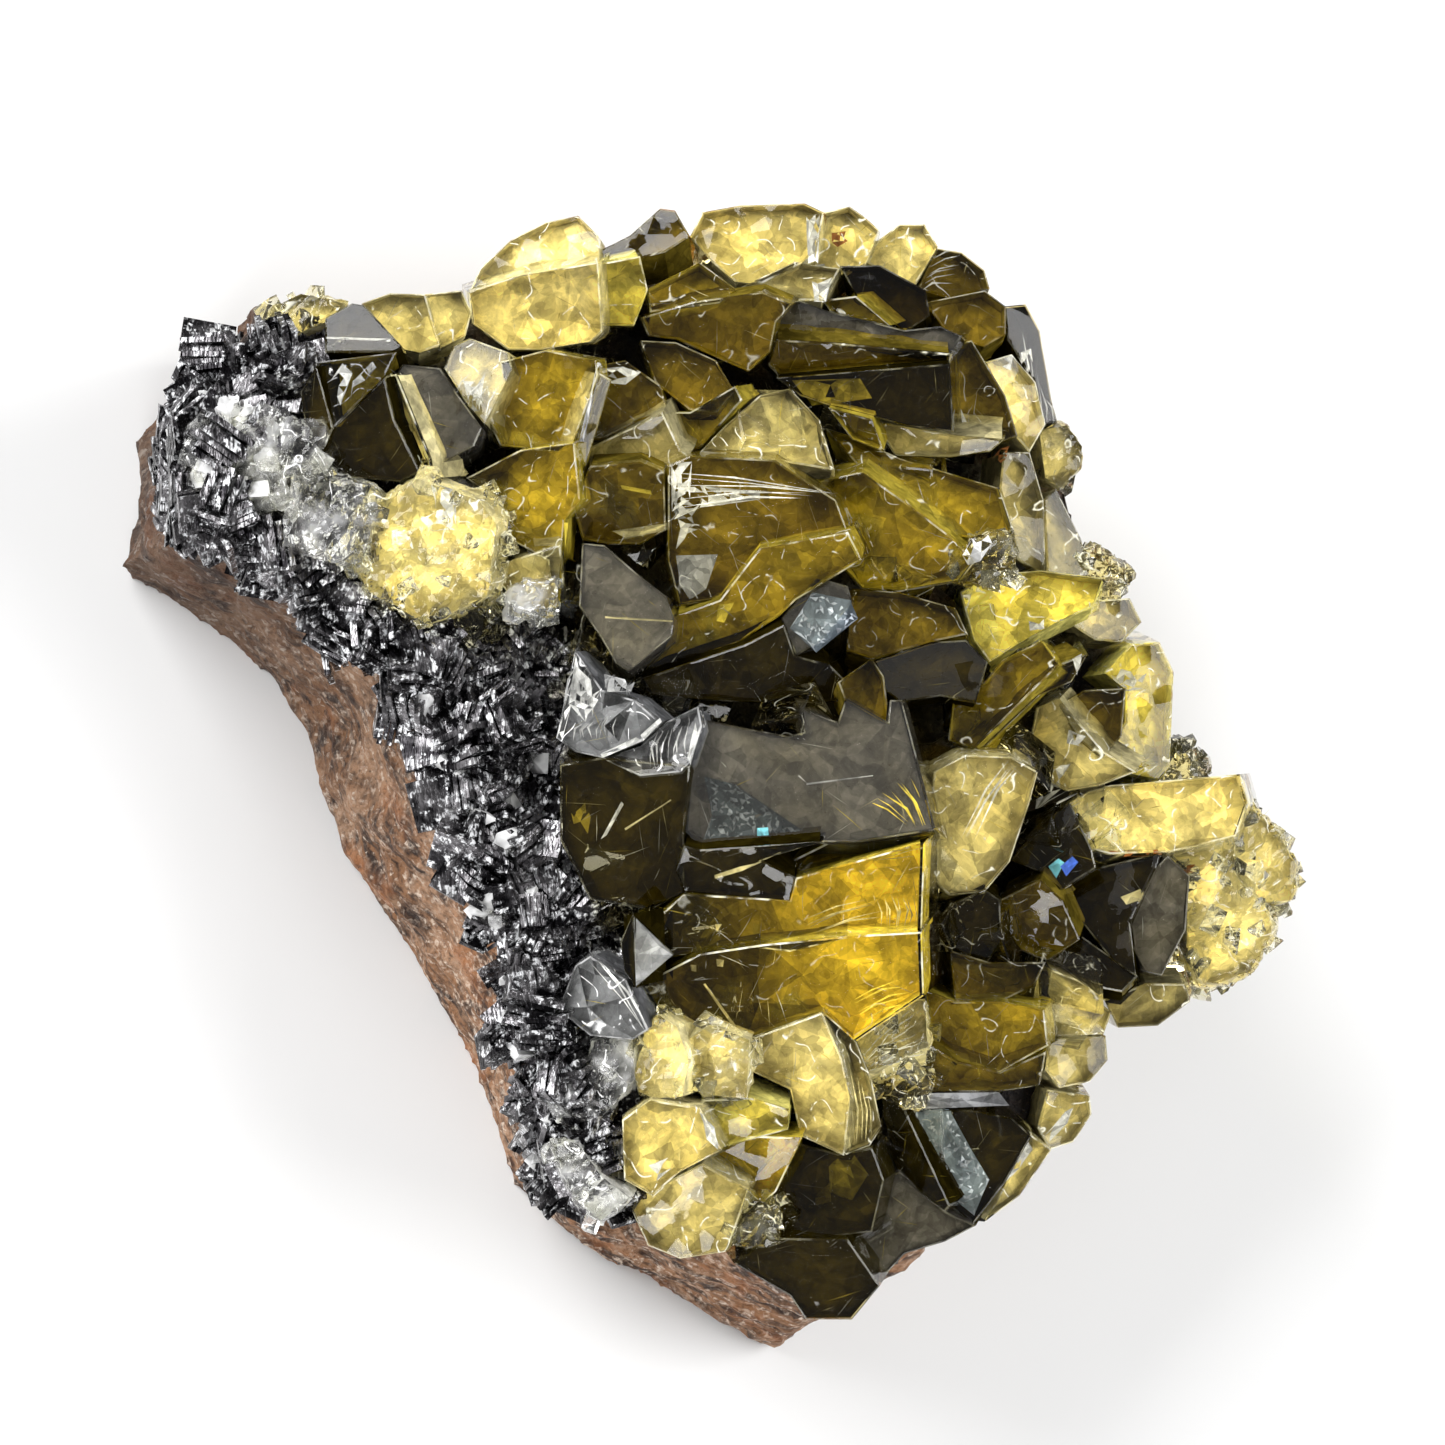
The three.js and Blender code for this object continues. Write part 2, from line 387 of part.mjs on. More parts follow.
// The layer that all the crystals stand on, thin at its edge and domed.
function bedSolid() {
  const rings = BED_RINGS.map(([share, height]) => {
    const ring = roundOutline(BED_EDGE, height, BED_STEPS);
    const middle = middleOf(ring);
    return ring.map((p) => middle.clone().lerp(p, share));
  });
  return solidOf(loftGeometry(rings, middleOf(rings[0]), middleOf(rings[rings.length - 1])));
}

// A crystal under one of its flat faces. Its walls widen a little downwards.
function faceCrystal([corners, height, lean, side]) {
  const spot = middleOf(corners.map(([x, y]) => seenAt(x, y, height)));
  const normal = UP.clone().applyQuaternion(leanTurn(lean, side)).applyQuaternion(pictureTurn);
  const top = corners.map(([x, y]) => seenOn(x, y, spot, normal));
  const middle = middleOf(top);
  const down = UP.clone().applyQuaternion(pictureTurn).add(normal).normalize().multiplyScalar(ROOT_HEIGHT - height);
  return solidOf(prismGeometry(top, top.map((p) => middle.clone().lerp(p, WALL_SPREAD).add(down))));
}

// A broken piece: a block whose corners are pulled in and out.
function lumpCrystal([x, y, height, length, width, depth, spin], index) {
  const next = seeded(101 + index);
  const block = new THREE.BoxGeometry(length, width, depth).deleteAttribute("normal").deleteAttribute("uv");
  const geometry = mergeVertices(block);
  const position = geometry.getAttribute("position");
  for (let i = 0; i < position.count; i++) {
    const reach = new THREE.Vector3(...[0, 1, 2].map(() => between(next, [0.62, 1.12])));
    position.setXYZ(i, position.getX(i) * reach.x, position.getY(i) * reach.y, position.getZ(i) * reach.z);
  }
  const at = seenAt(x, y, height);
  geometry.translate(0, 0, -depth / 4).rotateZ(rad(spin));
  return solidOf(geometry.applyQuaternion(pictureTurn).translate(at.x, at.y, at.z));
}

// A cube that stands on its corner, with the tip at its place.
function cornerCrystal([x, y, height, edge, spin, lean]) {
  const upright = new THREE.Quaternion().setFromUnitVectors(new THREE.Vector3(1, 1, 1).normalize(), UP);
  const cube = new THREE.BoxGeometry(edge, edge, edge).translate(-edge / 2, -edge / 2, -edge / 2);
  const at = seenAt(x, y, height);
  cube.applyQuaternion(upright).rotateZ(rad(spin)).applyQuaternion(leanTurn(lean, 3 * spin));
  return solidOf(cube.applyQuaternion(pictureTurn).translate(at.x, at.y, at.z));
}

// The crust: a skin over part of the rock, with dark shards standing on it along its crest.
function crustSolid(grow = 0) {
  const patch = (height) => CRUST_PATCH.map(([x, y]) => seenAt(x, y, height));
  const skin = rockSolid(CRUST_THICKNESS + grow).intersect(solidOf(prismGeometry(patch(40), patch(8))));
  return joined([skin, ...crustShards(grow)]);
}

function crustShards(grow) {
  const next = seeded(5);
  const crest = new THREE.CatmullRomCurve3(CRUST_CREST.map(([x, y]) => seenAt(x, y, ROCK_HEIGHT)));
  return Array.from({ length: CRUST_SHARDS }, (_, i) => {
    const along = crest.getPointAt((i + 0.5) / CRUST_SHARDS);
    const ahead = crest.getTangentAt((i + 0.5) / CRUST_SHARDS);
    const off = between(next, [-CRUST_SHARD_SPREAD, CRUST_SHARD_SPREAD]);
    const at = along.add(new THREE.Vector3(ahead.y, -ahead.x, 0).multiplyScalar(off));
    at.setZ(between(next, CRUST_SHARD_HEIGHT));
    const [length, width] = [between(next, CRUST_SHARD_LENGTH), between(next, CRUST_SHARD_WIDTH)];
    const turn = leanTurn(between(next, [8, 45]), between(next, [0, 360]));
    const depth = 5;
    const shard = new THREE.BoxGeometry(length + 2 * grow, width + 2 * grow, depth + 2 * grow);
    shard.translate(0, 0, -depth / 2).rotateZ(rad(between(next, [50, 120]))).applyQuaternion(turn);
    return solidOf(shard.translate(at.x, at.y, at.z));
  });
}

const rock = rockSolid();
const grownRock = rockSolid(CONTACT_GAP);
const crust = mainBody(crustSolid().subtract(grownRock));
const crystals = joined([
  bedSolid(),
  ...Object.values(FACES).map(faceCrystal),
  ...LUMPS.map(lumpCrystal),
  ...CORNERS.map(cornerCrystal),
]);
const druse = mainBody(crystals.subtract(grownRock).subtract(crustSolid(CONTACT_GAP)));

const MATERIALS = {
  rock: new THREE.MeshStandardMaterial({ color: "#5a4130", roughness: 0.8, metalness: 0 }),
  crust: new THREE.MeshStandardMaterial({ color: "#1d1c20", roughness: 0.25, metalness: 0.2 }),
  fluorite: new THREE.MeshStandardMaterial({
    color: "#b5a53c", roughness: 0.1, metalness: 0, transparent: true, opacity: 0.8,
  }),
};

const cluster = new THREE.Group();
const addSolid = (name, solid, material) => {
  const geometry = geometryOf(solid);
  geometry.computeVertexNormals();
  const mesh = new THREE.Mesh(geometry, material);
  mesh.name = name;
  cluster.add(mesh);
};
addSolid("matrix_rock", rock, MATERIALS.rock);
addSolid("dark_crust", crust, MATERIALS.crust);
addSolid("fluorite_crystals", druse, MATERIALS.fluorite);
cluster.position.set(CENTRE_SHIFT[0], CENTRE_SHIFT[1], 0);

export default cluster;
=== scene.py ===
# Dresses a fluorite crystal cluster for its picture: see-through yellow crystals grown together on a dark sparkling
# crust and a piece of brown rock. Its places are those of the part's solids. Mesh code works in millimetres and
# place_mesh turns them into metres.

import json
import math
import random

import bmesh
import bpy
from mathutils import Matrix, Quaternion, Vector, geometry, noise

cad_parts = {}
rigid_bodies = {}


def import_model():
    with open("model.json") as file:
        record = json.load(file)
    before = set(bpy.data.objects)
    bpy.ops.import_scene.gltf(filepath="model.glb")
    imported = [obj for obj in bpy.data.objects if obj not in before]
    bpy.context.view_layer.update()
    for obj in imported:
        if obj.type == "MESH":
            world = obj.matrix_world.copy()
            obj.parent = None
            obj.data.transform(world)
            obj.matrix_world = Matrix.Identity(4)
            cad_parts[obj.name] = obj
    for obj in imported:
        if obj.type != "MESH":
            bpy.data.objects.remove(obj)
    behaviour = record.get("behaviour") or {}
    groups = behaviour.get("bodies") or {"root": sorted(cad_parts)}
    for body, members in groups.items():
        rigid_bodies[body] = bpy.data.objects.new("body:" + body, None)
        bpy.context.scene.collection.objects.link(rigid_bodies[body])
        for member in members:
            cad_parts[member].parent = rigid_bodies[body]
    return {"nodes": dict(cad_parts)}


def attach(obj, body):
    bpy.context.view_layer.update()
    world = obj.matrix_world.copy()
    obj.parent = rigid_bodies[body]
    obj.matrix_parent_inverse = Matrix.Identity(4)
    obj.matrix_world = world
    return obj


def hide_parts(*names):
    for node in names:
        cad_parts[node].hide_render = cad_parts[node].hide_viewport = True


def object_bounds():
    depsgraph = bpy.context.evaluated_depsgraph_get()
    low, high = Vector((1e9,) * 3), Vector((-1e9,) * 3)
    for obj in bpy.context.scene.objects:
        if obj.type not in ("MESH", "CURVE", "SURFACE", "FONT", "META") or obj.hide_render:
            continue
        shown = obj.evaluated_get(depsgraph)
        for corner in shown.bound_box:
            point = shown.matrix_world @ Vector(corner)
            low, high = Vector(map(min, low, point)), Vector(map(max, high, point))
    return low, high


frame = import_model()
cad_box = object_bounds()

# Driving dimensions, the same as the solids have.
MM = 0.001
MM_PER_PIXEL = 0.07  # in the picture, at the height in focus
PICTURE_WIDTH = 1445  # pixels
SIGHT_DISTANCE = 420  # from the camera to the point in focus
SIGHT_HEIGHT = 30  # height of the point in focus over the base
SIGHT_LEAN = 20  # degrees between upright and the line of sight
SIGHT_TOWARD = 33  # the side of the picture that the object's upright leans to, in degrees from its right
CENTRE_SHIFT = Vector((4.07, 6.5, 0))  # moves the middle of the whole object's box onto the origin
ROOT_HEIGHT = 16  # where the crystals' roots end
WALL_SPREAD = 1.25  # how much wider a crystal is at its root
BED_STEPS = 28  # points round the crystals' layer

# Places in the picture are pixels, x to the right and y down, and heights are millimetres above the base.

# The edge of the crystals' common layer, and its rings: each a share of that outline and a height.
BED_EDGE = [
    [330, 340], [262, 392], [206, 430], [204, 500], [290, 532], [365, 568], [430, 615], [535, 660], [565, 760],
    [565, 900], [590, 1000], [600, 1080], [620, 1180], [690, 1230], [780, 1264], [870, 1262], [960, 1210],
    [1048, 1128], [1070, 1040], [1120, 960], [1200, 920], [1210, 830], [1150, 760], [1105, 640], [1065, 545],
    [1030, 450], [1005, 360], [930, 300], [830, 270], [700, 262], [600, 290], [470, 310],
]
BED_RINGS = [[0.86, 16], [0.97, 19], [0.94, 23.6], [0.6, 27.6]]

# The crystal faces that show: name, corners, height of the middle, and how many degrees the face leans from the
# line of sight, toward which side of the picture (0 right, 90 up).
FACES = {
    # Along the upper edge.
    "dark_trapezoid": [[[325, 318], [352, 303], [364, 305], [402, 346], [395, 352], [325, 352]], 26, 22, 110],
    "olive_wedge": [[[362, 303], [390, 293], [425, 294], [440, 345], [420, 352], [400, 348]], 25.5, 14, 70],
    "pale_wedge": [[[425, 294], [462, 290], [472, 312], [466, 335], [440, 348]], 25, 24, 40],
    "pale_head_top": [[[470, 290], [480, 268], [510, 240], [545, 222], [578, 215], [598, 235], [600, 262],
        [520, 276]], 24.5, 30, 100],
    "pale_head_front": [[[468, 292], [520, 275], [598, 262], [602, 332], [590, 342], [540, 350], [508, 350],
        [472, 324]], 26.5, 10, 250],
    "grey_peak": [[[600, 250], [630, 235], [660, 208], [675, 210], [690, 236], [665, 252], [640, 258], [600, 266]],
        25.5, 25, 100],
    "yellow_front": [[[598, 264], [640, 256], [648, 290], [634, 326], [602, 326]], 27, 10, 300],
    "olive_gable": [[[648, 288], [700, 262], [738, 290], [720, 302], [650, 312]], 27, 20, 80],
    "bright_block": [[[690, 236], [702, 212], [740, 205], [805, 203], [824, 212], [816, 250], [800, 264], [762, 283],
        [735, 281], [712, 262]], 25.5, 18, 95],
    "rusty_block": [[[824, 212], [850, 206], [864, 216], [880, 230], [866, 262], [820, 285], [804, 262], [816, 250]],
        25, 22, 70],
    "clear_gable": [[[738, 288], [795, 262], [840, 268], [822, 300], [770, 300]], 26.5, 24, 90],
    "pale_pane": [[[878, 240], [900, 224], [925, 224], [938, 246], [915, 285], [890, 278], [868, 262]], 24.5, 22,
        60],
    "lined_pane": [[[938, 248], [962, 252], [985, 270], [990, 288], [950, 298], [918, 288]], 24, 28, 50],
    "grey_blade": [[[840, 266], [880, 265], [926, 290], [930, 316], [905, 332], [884, 316], [858, 300]], 27.5, 8,
        115],
    "olive_sliver": [[[822, 300], [856, 296], [890, 326], [830, 312]], 27.5, 20, 200],
    "long_dark_face": [[[640, 318], [692, 302], [762, 292], [792, 304], [776, 322], [770, 352], [748, 372],
        [716, 358], [676, 340], [648, 336]], 28, 14, 250],
    "grey_ledge": [[[770, 306], [800, 300], [825, 310], [905, 330], [940, 326], [962, 336], [950, 356], [900, 351],
        [832, 342], [782, 341]], 28.5, 7, 105],
    "brown_step": [[[776, 340], [835, 343], [952, 354], [950, 364], [778, 376], [768, 366]], 29, 25, 270],
    "dark_block_face": [[[776, 378], [950, 364], [954, 432], [905, 426], [870, 416], [830, 406], [800, 396]], 29.5,
        15, 265],
    "grey_step": [[[925, 302], [985, 290], [1006, 306], [1006, 334], [985, 346], [950, 336]], 26.5, 24, 60],
    "tall_side": [[[952, 346], [972, 340], [1006, 396], [1018, 436], [1000, 442], [955, 432]], 28, 14, 20],
    "pale_shoulder": [[[985, 362], [1012, 354], [1036, 382], [1046, 424], [1030, 452], [1016, 436], [1004, 398]], 26,
        26, 25],
    "lined_edge": [[[1005, 306], [1026, 304], [1040, 330], [1052, 400], [1058, 422], [1044, 424], [1034, 380],
        [1008, 340]], 23.5, 34, 20],
    "crumbly_tip": [[[264, 326], [272, 306], [300, 292], [345, 302], [328, 320], [272, 343]], 23.5, 18, 120],
    # The right side, downwards.
    "edge_crumb": [[[1040, 430], [1068, 424], [1084, 446], [1080, 468], [1062, 488], [1046, 478]], 22.5, 18, 10],
    "clear_cap": [[[1248, 802], [1282, 836], [1299, 866], [1294, 900], [1262, 905], [1232, 870], [1236, 836]], 22.5,
        20, 0],
    "crumbly_foot": [[[1170, 852], [1236, 836], [1232, 870], [1262, 905], [1278, 930], [1250, 975], [1205, 988],
        [1188, 960], [1186, 868]], 22, 18, 300],
    "pale_knob": [[[1104, 1000], [1146, 984], [1184, 984], [1190, 1002], [1158, 1026], [1118, 1028]], 22, 15, 280],
    "small_yellow": [[[828, 408], [872, 420], [884, 452], [852, 440]], 29, 24, 250],
    "pale_band": [[[872, 422], [955, 436], [1004, 440], [990, 452], [950, 458], [895, 456]], 28.6, 25, 265],
    "olive_slope": [[[826, 428], [852, 436], [900, 458], [1000, 488], [1014, 530], [985, 540], [950, 534],
        [905, 500], [862, 470]], 28, 15, 60],
    "olive_right": [[[812, 482], [862, 472], [905, 502], [950, 536], [975, 562], [960, 582], [900, 592], [862, 590],
        [840, 566], [826, 520]], 28.6, 18, 250],
    "pale_column": [[[1004, 452], [1030, 452], [1044, 500], [1046, 574], [1018, 560], [1012, 530], [1000, 488]],
        25.5, 20, 10],
    "pale_fin": [[[1044, 500], [1056, 488], [1082, 540], [1090, 582], [1048, 576]], 23.5, 30, 15],
    "bright_blade": [[[960, 592], [985, 575], [1040, 570], [1104, 578], [1096, 602], [1060, 620], [1020, 642],
        [990, 662], [974, 640], [966, 612]], 27, 16, 80],
    "pale_corner": [[[1062, 618], [1100, 600], [1130, 598], [1142, 622], [1122, 642], [1096, 640]], 24, 22, 20],
    "prism_upper": [[[952, 700], [984, 682], [1002, 660], [1042, 640], [1060, 664], [975, 748], [948, 740]], 29, 14,
        150],
    "prism_lower": [[[975, 748], [1060, 664], [1088, 654], [1072, 682], [1040, 696], [985, 748], [962, 756]], 28.5,
        22, 320],
    "olive_cube": [[[1060, 704], [1084, 690], [1126, 688], [1122, 736], [1104, 756], [1082, 738]], 27, 12, 50],
    "shattered_face": [[[1036, 708], [1058, 698], [1104, 752], [1136, 772], [1100, 786], [1066, 792], [1044, 780],
        [1030, 740]], 26.5, 20, 220],
    "orange_block": [[[1106, 672], [1132, 644], [1160, 642], [1174, 672], [1170, 768], [1160, 780], [1120, 772],
        [1108, 752], [1126, 722], [1126, 688]], 24.5, 22, 10],
    "long_block": [[[1070, 802], [1086, 790], [1110, 785], [1240, 774], [1248, 802], [1236, 836], [1170, 852],
        [1110, 854], [1088, 848], [1072, 826]], 25.5, 10, 75],
    "grey_rhombus": [[[1130, 922], [1156, 868], [1168, 856], [1190, 876], [1186, 930], [1162, 976], [1146, 972],
        [1130, 942]], 25, 9, 330],
    "dark_pocket": [[[1096, 868], [1162, 852], [1156, 868], [1130, 922], [1136, 976], [1112, 960], [1080, 920],
        [1060, 900]], 24.8, 14, 130],
    "rainbow_face": [[[1010, 860], [1036, 826], [1070, 802], [1092, 850], [1096, 868], [1060, 890], [1040, 872]], 26,
        12, 140],
    "pocket_wedge": [[[1000, 900], [1040, 880], [1062, 900], [1080, 940], [1046, 962], [1002, 942]], 25.5, 20, 240],
    "pocket_pane": [[[950, 905], [985, 890], [1000, 900], [1002, 942], [985, 966], [950, 946], [938, 930]], 26.5, 20,
        280],
    "pocket_sill": [[[950, 950], [990, 962], [1046, 962], [1035, 985], [1000, 1002], [955, 1000]], 26, 14, 60],
    "pocket_edge": [[[1046, 962], [1082, 936], [1138, 976], [1122, 992], [1090, 986]], 24, 15, 100],
    "pale_cube": [[[934, 772], [965, 755], [1012, 757], [1038, 772], [1030, 802], [1010, 862], [985, 892],
        [950, 896], [934, 880], [930, 830]], 29, 12, 330],
    # The middle of the upper half.
    "crumbly_head": [[[354, 510], [392, 496], [418, 478], [480, 500], [498, 524], [488, 598], [428, 628], [366, 592],
        [350, 560]], 27.8, 12, 230],
    "lower_triangle": [[[316, 362], [396, 352], [384, 376], [333, 428]], 27, 15, 100],
    "dark_splinter": [[[300, 392], [316, 366], [333, 428], [320, 458], [306, 432]], 26.4, 20, 200],
    "dark_hollow": [[[333, 428], [384, 378], [394, 420], [420, 472], [400, 482], [350, 478], [322, 458]], 27.4, 18,
        215],
    "grey_pane": [[[396, 374], [402, 364], [440, 368], [456, 392], [482, 428], [474, 446], [436, 466], [430, 458]],
        27.5, 7, 120],
    "grey_pane_side": [[[384, 376], [396, 374], [430, 458], [434, 480], [420, 472], [394, 420]], 27.6, 30, 190],
    "pale_chip": [[[452, 346], [470, 338], [508, 352], [512, 368], [484, 424], [464, 400], [444, 368]], 27, 20, 140],

    "gold_face_upper": [[[500, 362], [545, 350], [596, 360], [598, 376], [574, 440], [560, 452], [500, 446],
        [488, 420], [505, 385]], 28.6, 9, 200],
    "gold_face_lower": [[[466, 478], [520, 450], [574, 442], [580, 500], [564, 520], [556, 608], [548, 560],
        [510, 540], [496, 500]], 28, 13, 205],
    "gold_face_rim": [[[598, 372], [612, 380], [575, 505], [566, 500], [576, 440]], 28.5, 30, 340],
    "pale_foot": [[[492, 575], [512, 560], [560, 545], [566, 600], [550, 609], [520, 606]], 27, 14, 250],
    "smoky_pane": [[[598, 365], [625, 360], [660, 385], [668, 412], [640, 420], [600, 440], [580, 440]], 27.6, 12,
        130],
    "pale_ridge": [[[580, 452], [640, 424], [662, 412], [680, 450], [690, 456], [664, 470], [640, 462], [578, 466]],
        28.2, 22, 240],
    "smoky_gable": [[[640, 340], [676, 342], [716, 360], [735, 392], [718, 412], [690, 410], [655, 382]], 28.2, 14,
        100],
    "lined_wedge": [[[662, 412], [690, 412], [735, 386], [742, 400], [700, 448], [684, 456]], 28.6, 18, 200],
    "dark_shelf": [[[572, 505], [590, 466], [640, 462], [664, 472], [666, 530], [640, 545], [606, 545], [582, 540]],
        28.4, 16, 260],
    # The middle.
    "grey_hexagon": [[[582, 543], [604, 545], [640, 576], [666, 596], [674, 618], [672, 636], [628, 672], [616, 664],
        [600, 636], [579, 606]], 30, 6, 125],
    "feather_top": [[[700, 452], [725, 425], [760, 395], [790, 388], [820, 420], [835, 470], [775, 460]], 29.5, 20,
        70],
    "feather_face": [[[668, 466], [690, 456], [775, 460], [836, 500], [848, 532], [760, 548], [720, 600], [680, 606],
        [668, 560]], 30.5, 8, 280],
    "feather_foot": [[[720, 600], [760, 548], [848, 532], [862, 560], [796, 600], [780, 616], [740, 642], [640, 676],
        [672, 642], [676, 616]], 30.4, 12, 265],
    "dark_ravine": [[[640, 680], [700, 660], [745, 645], [784, 625], [795, 656], [830, 665], [845, 680], [838, 702],
        [800, 706], [700, 700], [650, 695]], 29.4, 20, 285],
    "light_pane": [[[781, 618], [817, 577], [848, 586], [852, 602], [822, 640], [796, 656]], 31.4, 7, 118],
    "amber_corner": [[[850, 588], [900, 592], [956, 608], [968, 634], [930, 642], [872, 658], [846, 650],
        [852, 604]], 29.4, 18, 80],
    "dark_pane": [[[874, 660], [930, 642], [966, 640], [988, 662], [976, 702], [940, 696], [900, 702], [884, 690]],
        30, 7, 100],
    "small_triangle": [[[838, 682], [872, 658], [884, 676], [890, 724], [866, 716], [846, 702]], 32.2, 14, 60],
    "great_grey_face": [[[697, 718], [745, 728], [788, 736], [804, 732], [800, 708], [838, 722], [846, 698],
        [888, 722], [890, 700], [902, 700], [936, 830], [860, 842], [822, 842], [700, 852], [684, 832], [690, 762]],
        32, 6, 110],
    "under_ledge": [[[684, 846], [700, 850], [822, 842], [760, 860], [796, 878], [790, 902], [684, 894], [676, 870]],
        30.5, 22, 262],
    "black_interior": [[[560, 765], [600, 758], [690, 766], [684, 832], [684, 894], [650, 910], [590, 900],
        [560, 840]], 27.8, 12, 230],
    "ribbed_shell": [[[556, 738], [575, 650], [602, 690], [634, 700], [660, 722], [640, 742], [602, 758],
        [575, 752]], 29.5, 16, 190],
    "clear_splinter": [[[604, 758], [640, 746], [666, 722], [698, 706], [702, 726], [690, 762], [680, 772],
        [640, 776]], 30.5, 14, 150],
    # The golden window and what is round it.
    "window_lintel": [[[790, 862], [830, 842], [935, 834], [925, 846], [798, 880]], 30.6, 30, 275],
    "window_upper": [[[655, 920], [684, 894], [790, 900], [796, 878], [925, 842], [922, 932], [850, 936], [790, 950],
        [740, 944], [652, 962]], 30, 8, 272],
    "window_lower": [[[640, 985], [700, 954], [760, 945], [850, 936], [922, 932], [924, 996], [856, 1042],
        [822, 1013], [748, 1040], [690, 1030], [656, 1010]], 29.4, 13, 268],
    "light_triangle": [[[633, 913], [674, 954], [636, 988]], 30.6, 8, 20],
    "light_triangle_side": [[[620, 942], [633, 913], [636, 988], [624, 972]], 30, 30, 190],
    "white_edged": [[[575, 966], [590, 956], [626, 980], [648, 1030], [632, 1040], [590, 1036], [558, 1010]], 27.8,
        16, 200],
    "bright_splinters": [[[856, 1040], [900, 1000], [926, 996], [928, 1046], [900, 1060], [868, 1070]], 27.5, 24,
        90],
    # The lower half.
    "sparkling_flank": [[[590, 1040], [632, 1036], [634, 1080], [616, 1100], [590, 1130], [580, 1090]], 25.5, 18,
        200],
    "yellow_heart": [[[622, 1120], [650, 1100], [700, 1108], [722, 1150], [680, 1172], [652, 1196], [624, 1180]], 27,
        10, 220],
    "yellow_brow": [[[700, 1100], [750, 1098], [790, 1110], [788, 1130], [722, 1148]], 27, 18, 260],
    "silver_heel": [[[552, 1150], [575, 1142], [600, 1176], [630, 1200], [600, 1222], [574, 1200]], 23.5, 16, 220],
    "tail_piece": [[[1048, 1090], [1090, 1096], [1092, 1114], [1074, 1142], [1050, 1150], [1038, 1128]], 21.5, 18,
        340],
    "yellow_tooth": [[[634, 1070], [644, 1030], [656, 1014], [676, 1026], [688, 1060], [682, 1098], [650, 1100],
        [636, 1090]], 27.5, 20, 190],
    "white_cube": [[[686, 1040], [710, 1024], [750, 1040], [747, 1100], [700, 1096], [690, 1076]], 28, 10, 230],
    "pale_lump_front": [[[748, 1040], [822, 1013], [842, 1060], [850, 1100], [844, 1156], [800, 1136], [790, 1090],
        [752, 1072]], 28, 12, 230],
    "pale_lump_side": [[[822, 1013], [856, 1040], [872, 1080], [882, 1128], [870, 1146], [844, 1156], [850, 1100],
        [842, 1060]], 27.4, 22, 340],
    "tan_wedge": [[[700, 1162], [750, 1136], [802, 1138], [776, 1192], [762, 1204], [742, 1188]], 25, 20, 240],
    "tan_lump": [[[632, 1212], [644, 1194], [702, 1164], [748, 1190], [736, 1226], [726, 1252], [680, 1259],
        [648, 1246]], 23.5, 18, 240],
    "dark_glow": [[[768, 1192], [795, 1142], [838, 1154], [872, 1148], [884, 1180], [872, 1232], [822, 1238],
        [782, 1230]], 24.5, 14, 200],
    "rough_foot": [[[734, 1264], [770, 1238], [848, 1240], [880, 1286], [852, 1320], [806, 1320], [790, 1296]], 22.6,
        20, 270],
    "grey_slab": [[[872, 1180], [900, 1172], [946, 1212], [976, 1226], [945, 1242], [905, 1254], [872, 1290],
        [852, 1300], [850, 1240]], 21.8, 14, 300],
    "speckled_triangle": [[[906, 1112], [972, 1110], [1012, 1118], [1032, 1136], [1006, 1182], [972, 1226],
        [950, 1206]], 23.5, 12, 330],
    "speckled_side": [[[880, 1082], [910, 1094], [906, 1112], [950, 1206], [944, 1212], [900, 1178], [884, 1140]],
        24, 24, 200],
    "white_sliver": [[[1006, 1184], [1030, 1134], [1052, 1150], [1020, 1196], [985, 1222]], 21, 30, 330],
    "olive_gem_top": [[[924, 990], [955, 1002], [1000, 1002], [1044, 1010], [1048, 1046], [1000, 1072], [958, 1062],
        [930, 1046]], 26.5, 12, 215],
    "olive_gem_foot": [[[930, 1046], [958, 1062], [1000, 1072], [1046, 1052], [1040, 1086], [1000, 1092],
        [910, 1092], [880, 1080], [895, 1050]], 25.5, 25, 280],
    "pale_gem": [[[1050, 972], [1075, 982], [1112, 1012], [1104, 1034], [1050, 1036], [1044, 1000]], 24, 18, 20],
    "pale_gem_foot": [[[1050, 1038], [1106, 1036], [1108, 1060], [1090, 1082], [1060, 1088], [1046, 1070]], 22.5, 20,
        10],
}

# Broken pieces along the edges: middle, height, length, width and depth, and the length's turn.
LUMPS = [
    [222, 440, 23.4, 6, 5, 6, 60], [282, 450, 25, 6.4, 4.6, 6, 0], [262, 488, 24.4, 5, 4.4, 6, 30],
    [330, 516, 26, 6, 7, 7, 70], [984, 560, 28, 4.4, 3.6, 6, 10], [1104, 578, 22.5, 4, 3.4, 6, -30],
    [1186, 766, 20, 3, 3, 5, 0], [900, 1084, 25.5, 4.6, 2.6, 6, -10], [756, 1222, 23.6, 3.4, 3.4, 5, 0],
    [530, 600, 26.8, 4, 3, 6, 0],
]

# Corners of small cubes that stand up between the faces: tip, height, edge length, spin and lean.
CORNERS = [
    [800, 716, 32.6, 4, 20, 12], [745, 440, 30, 4.6, 70, 18], [1012, 760, 29, 4, 40, 12],
    [1000, 930, 27.4, 5, 15, 20], [1040, 1000, 26.2, 5, 60, 20], [930, 470, 28.8, 4, 5, 20],
    [480, 400, 27.6, 4, 25, 20], [880, 1140, 24.4, 4, 50, 15],
]

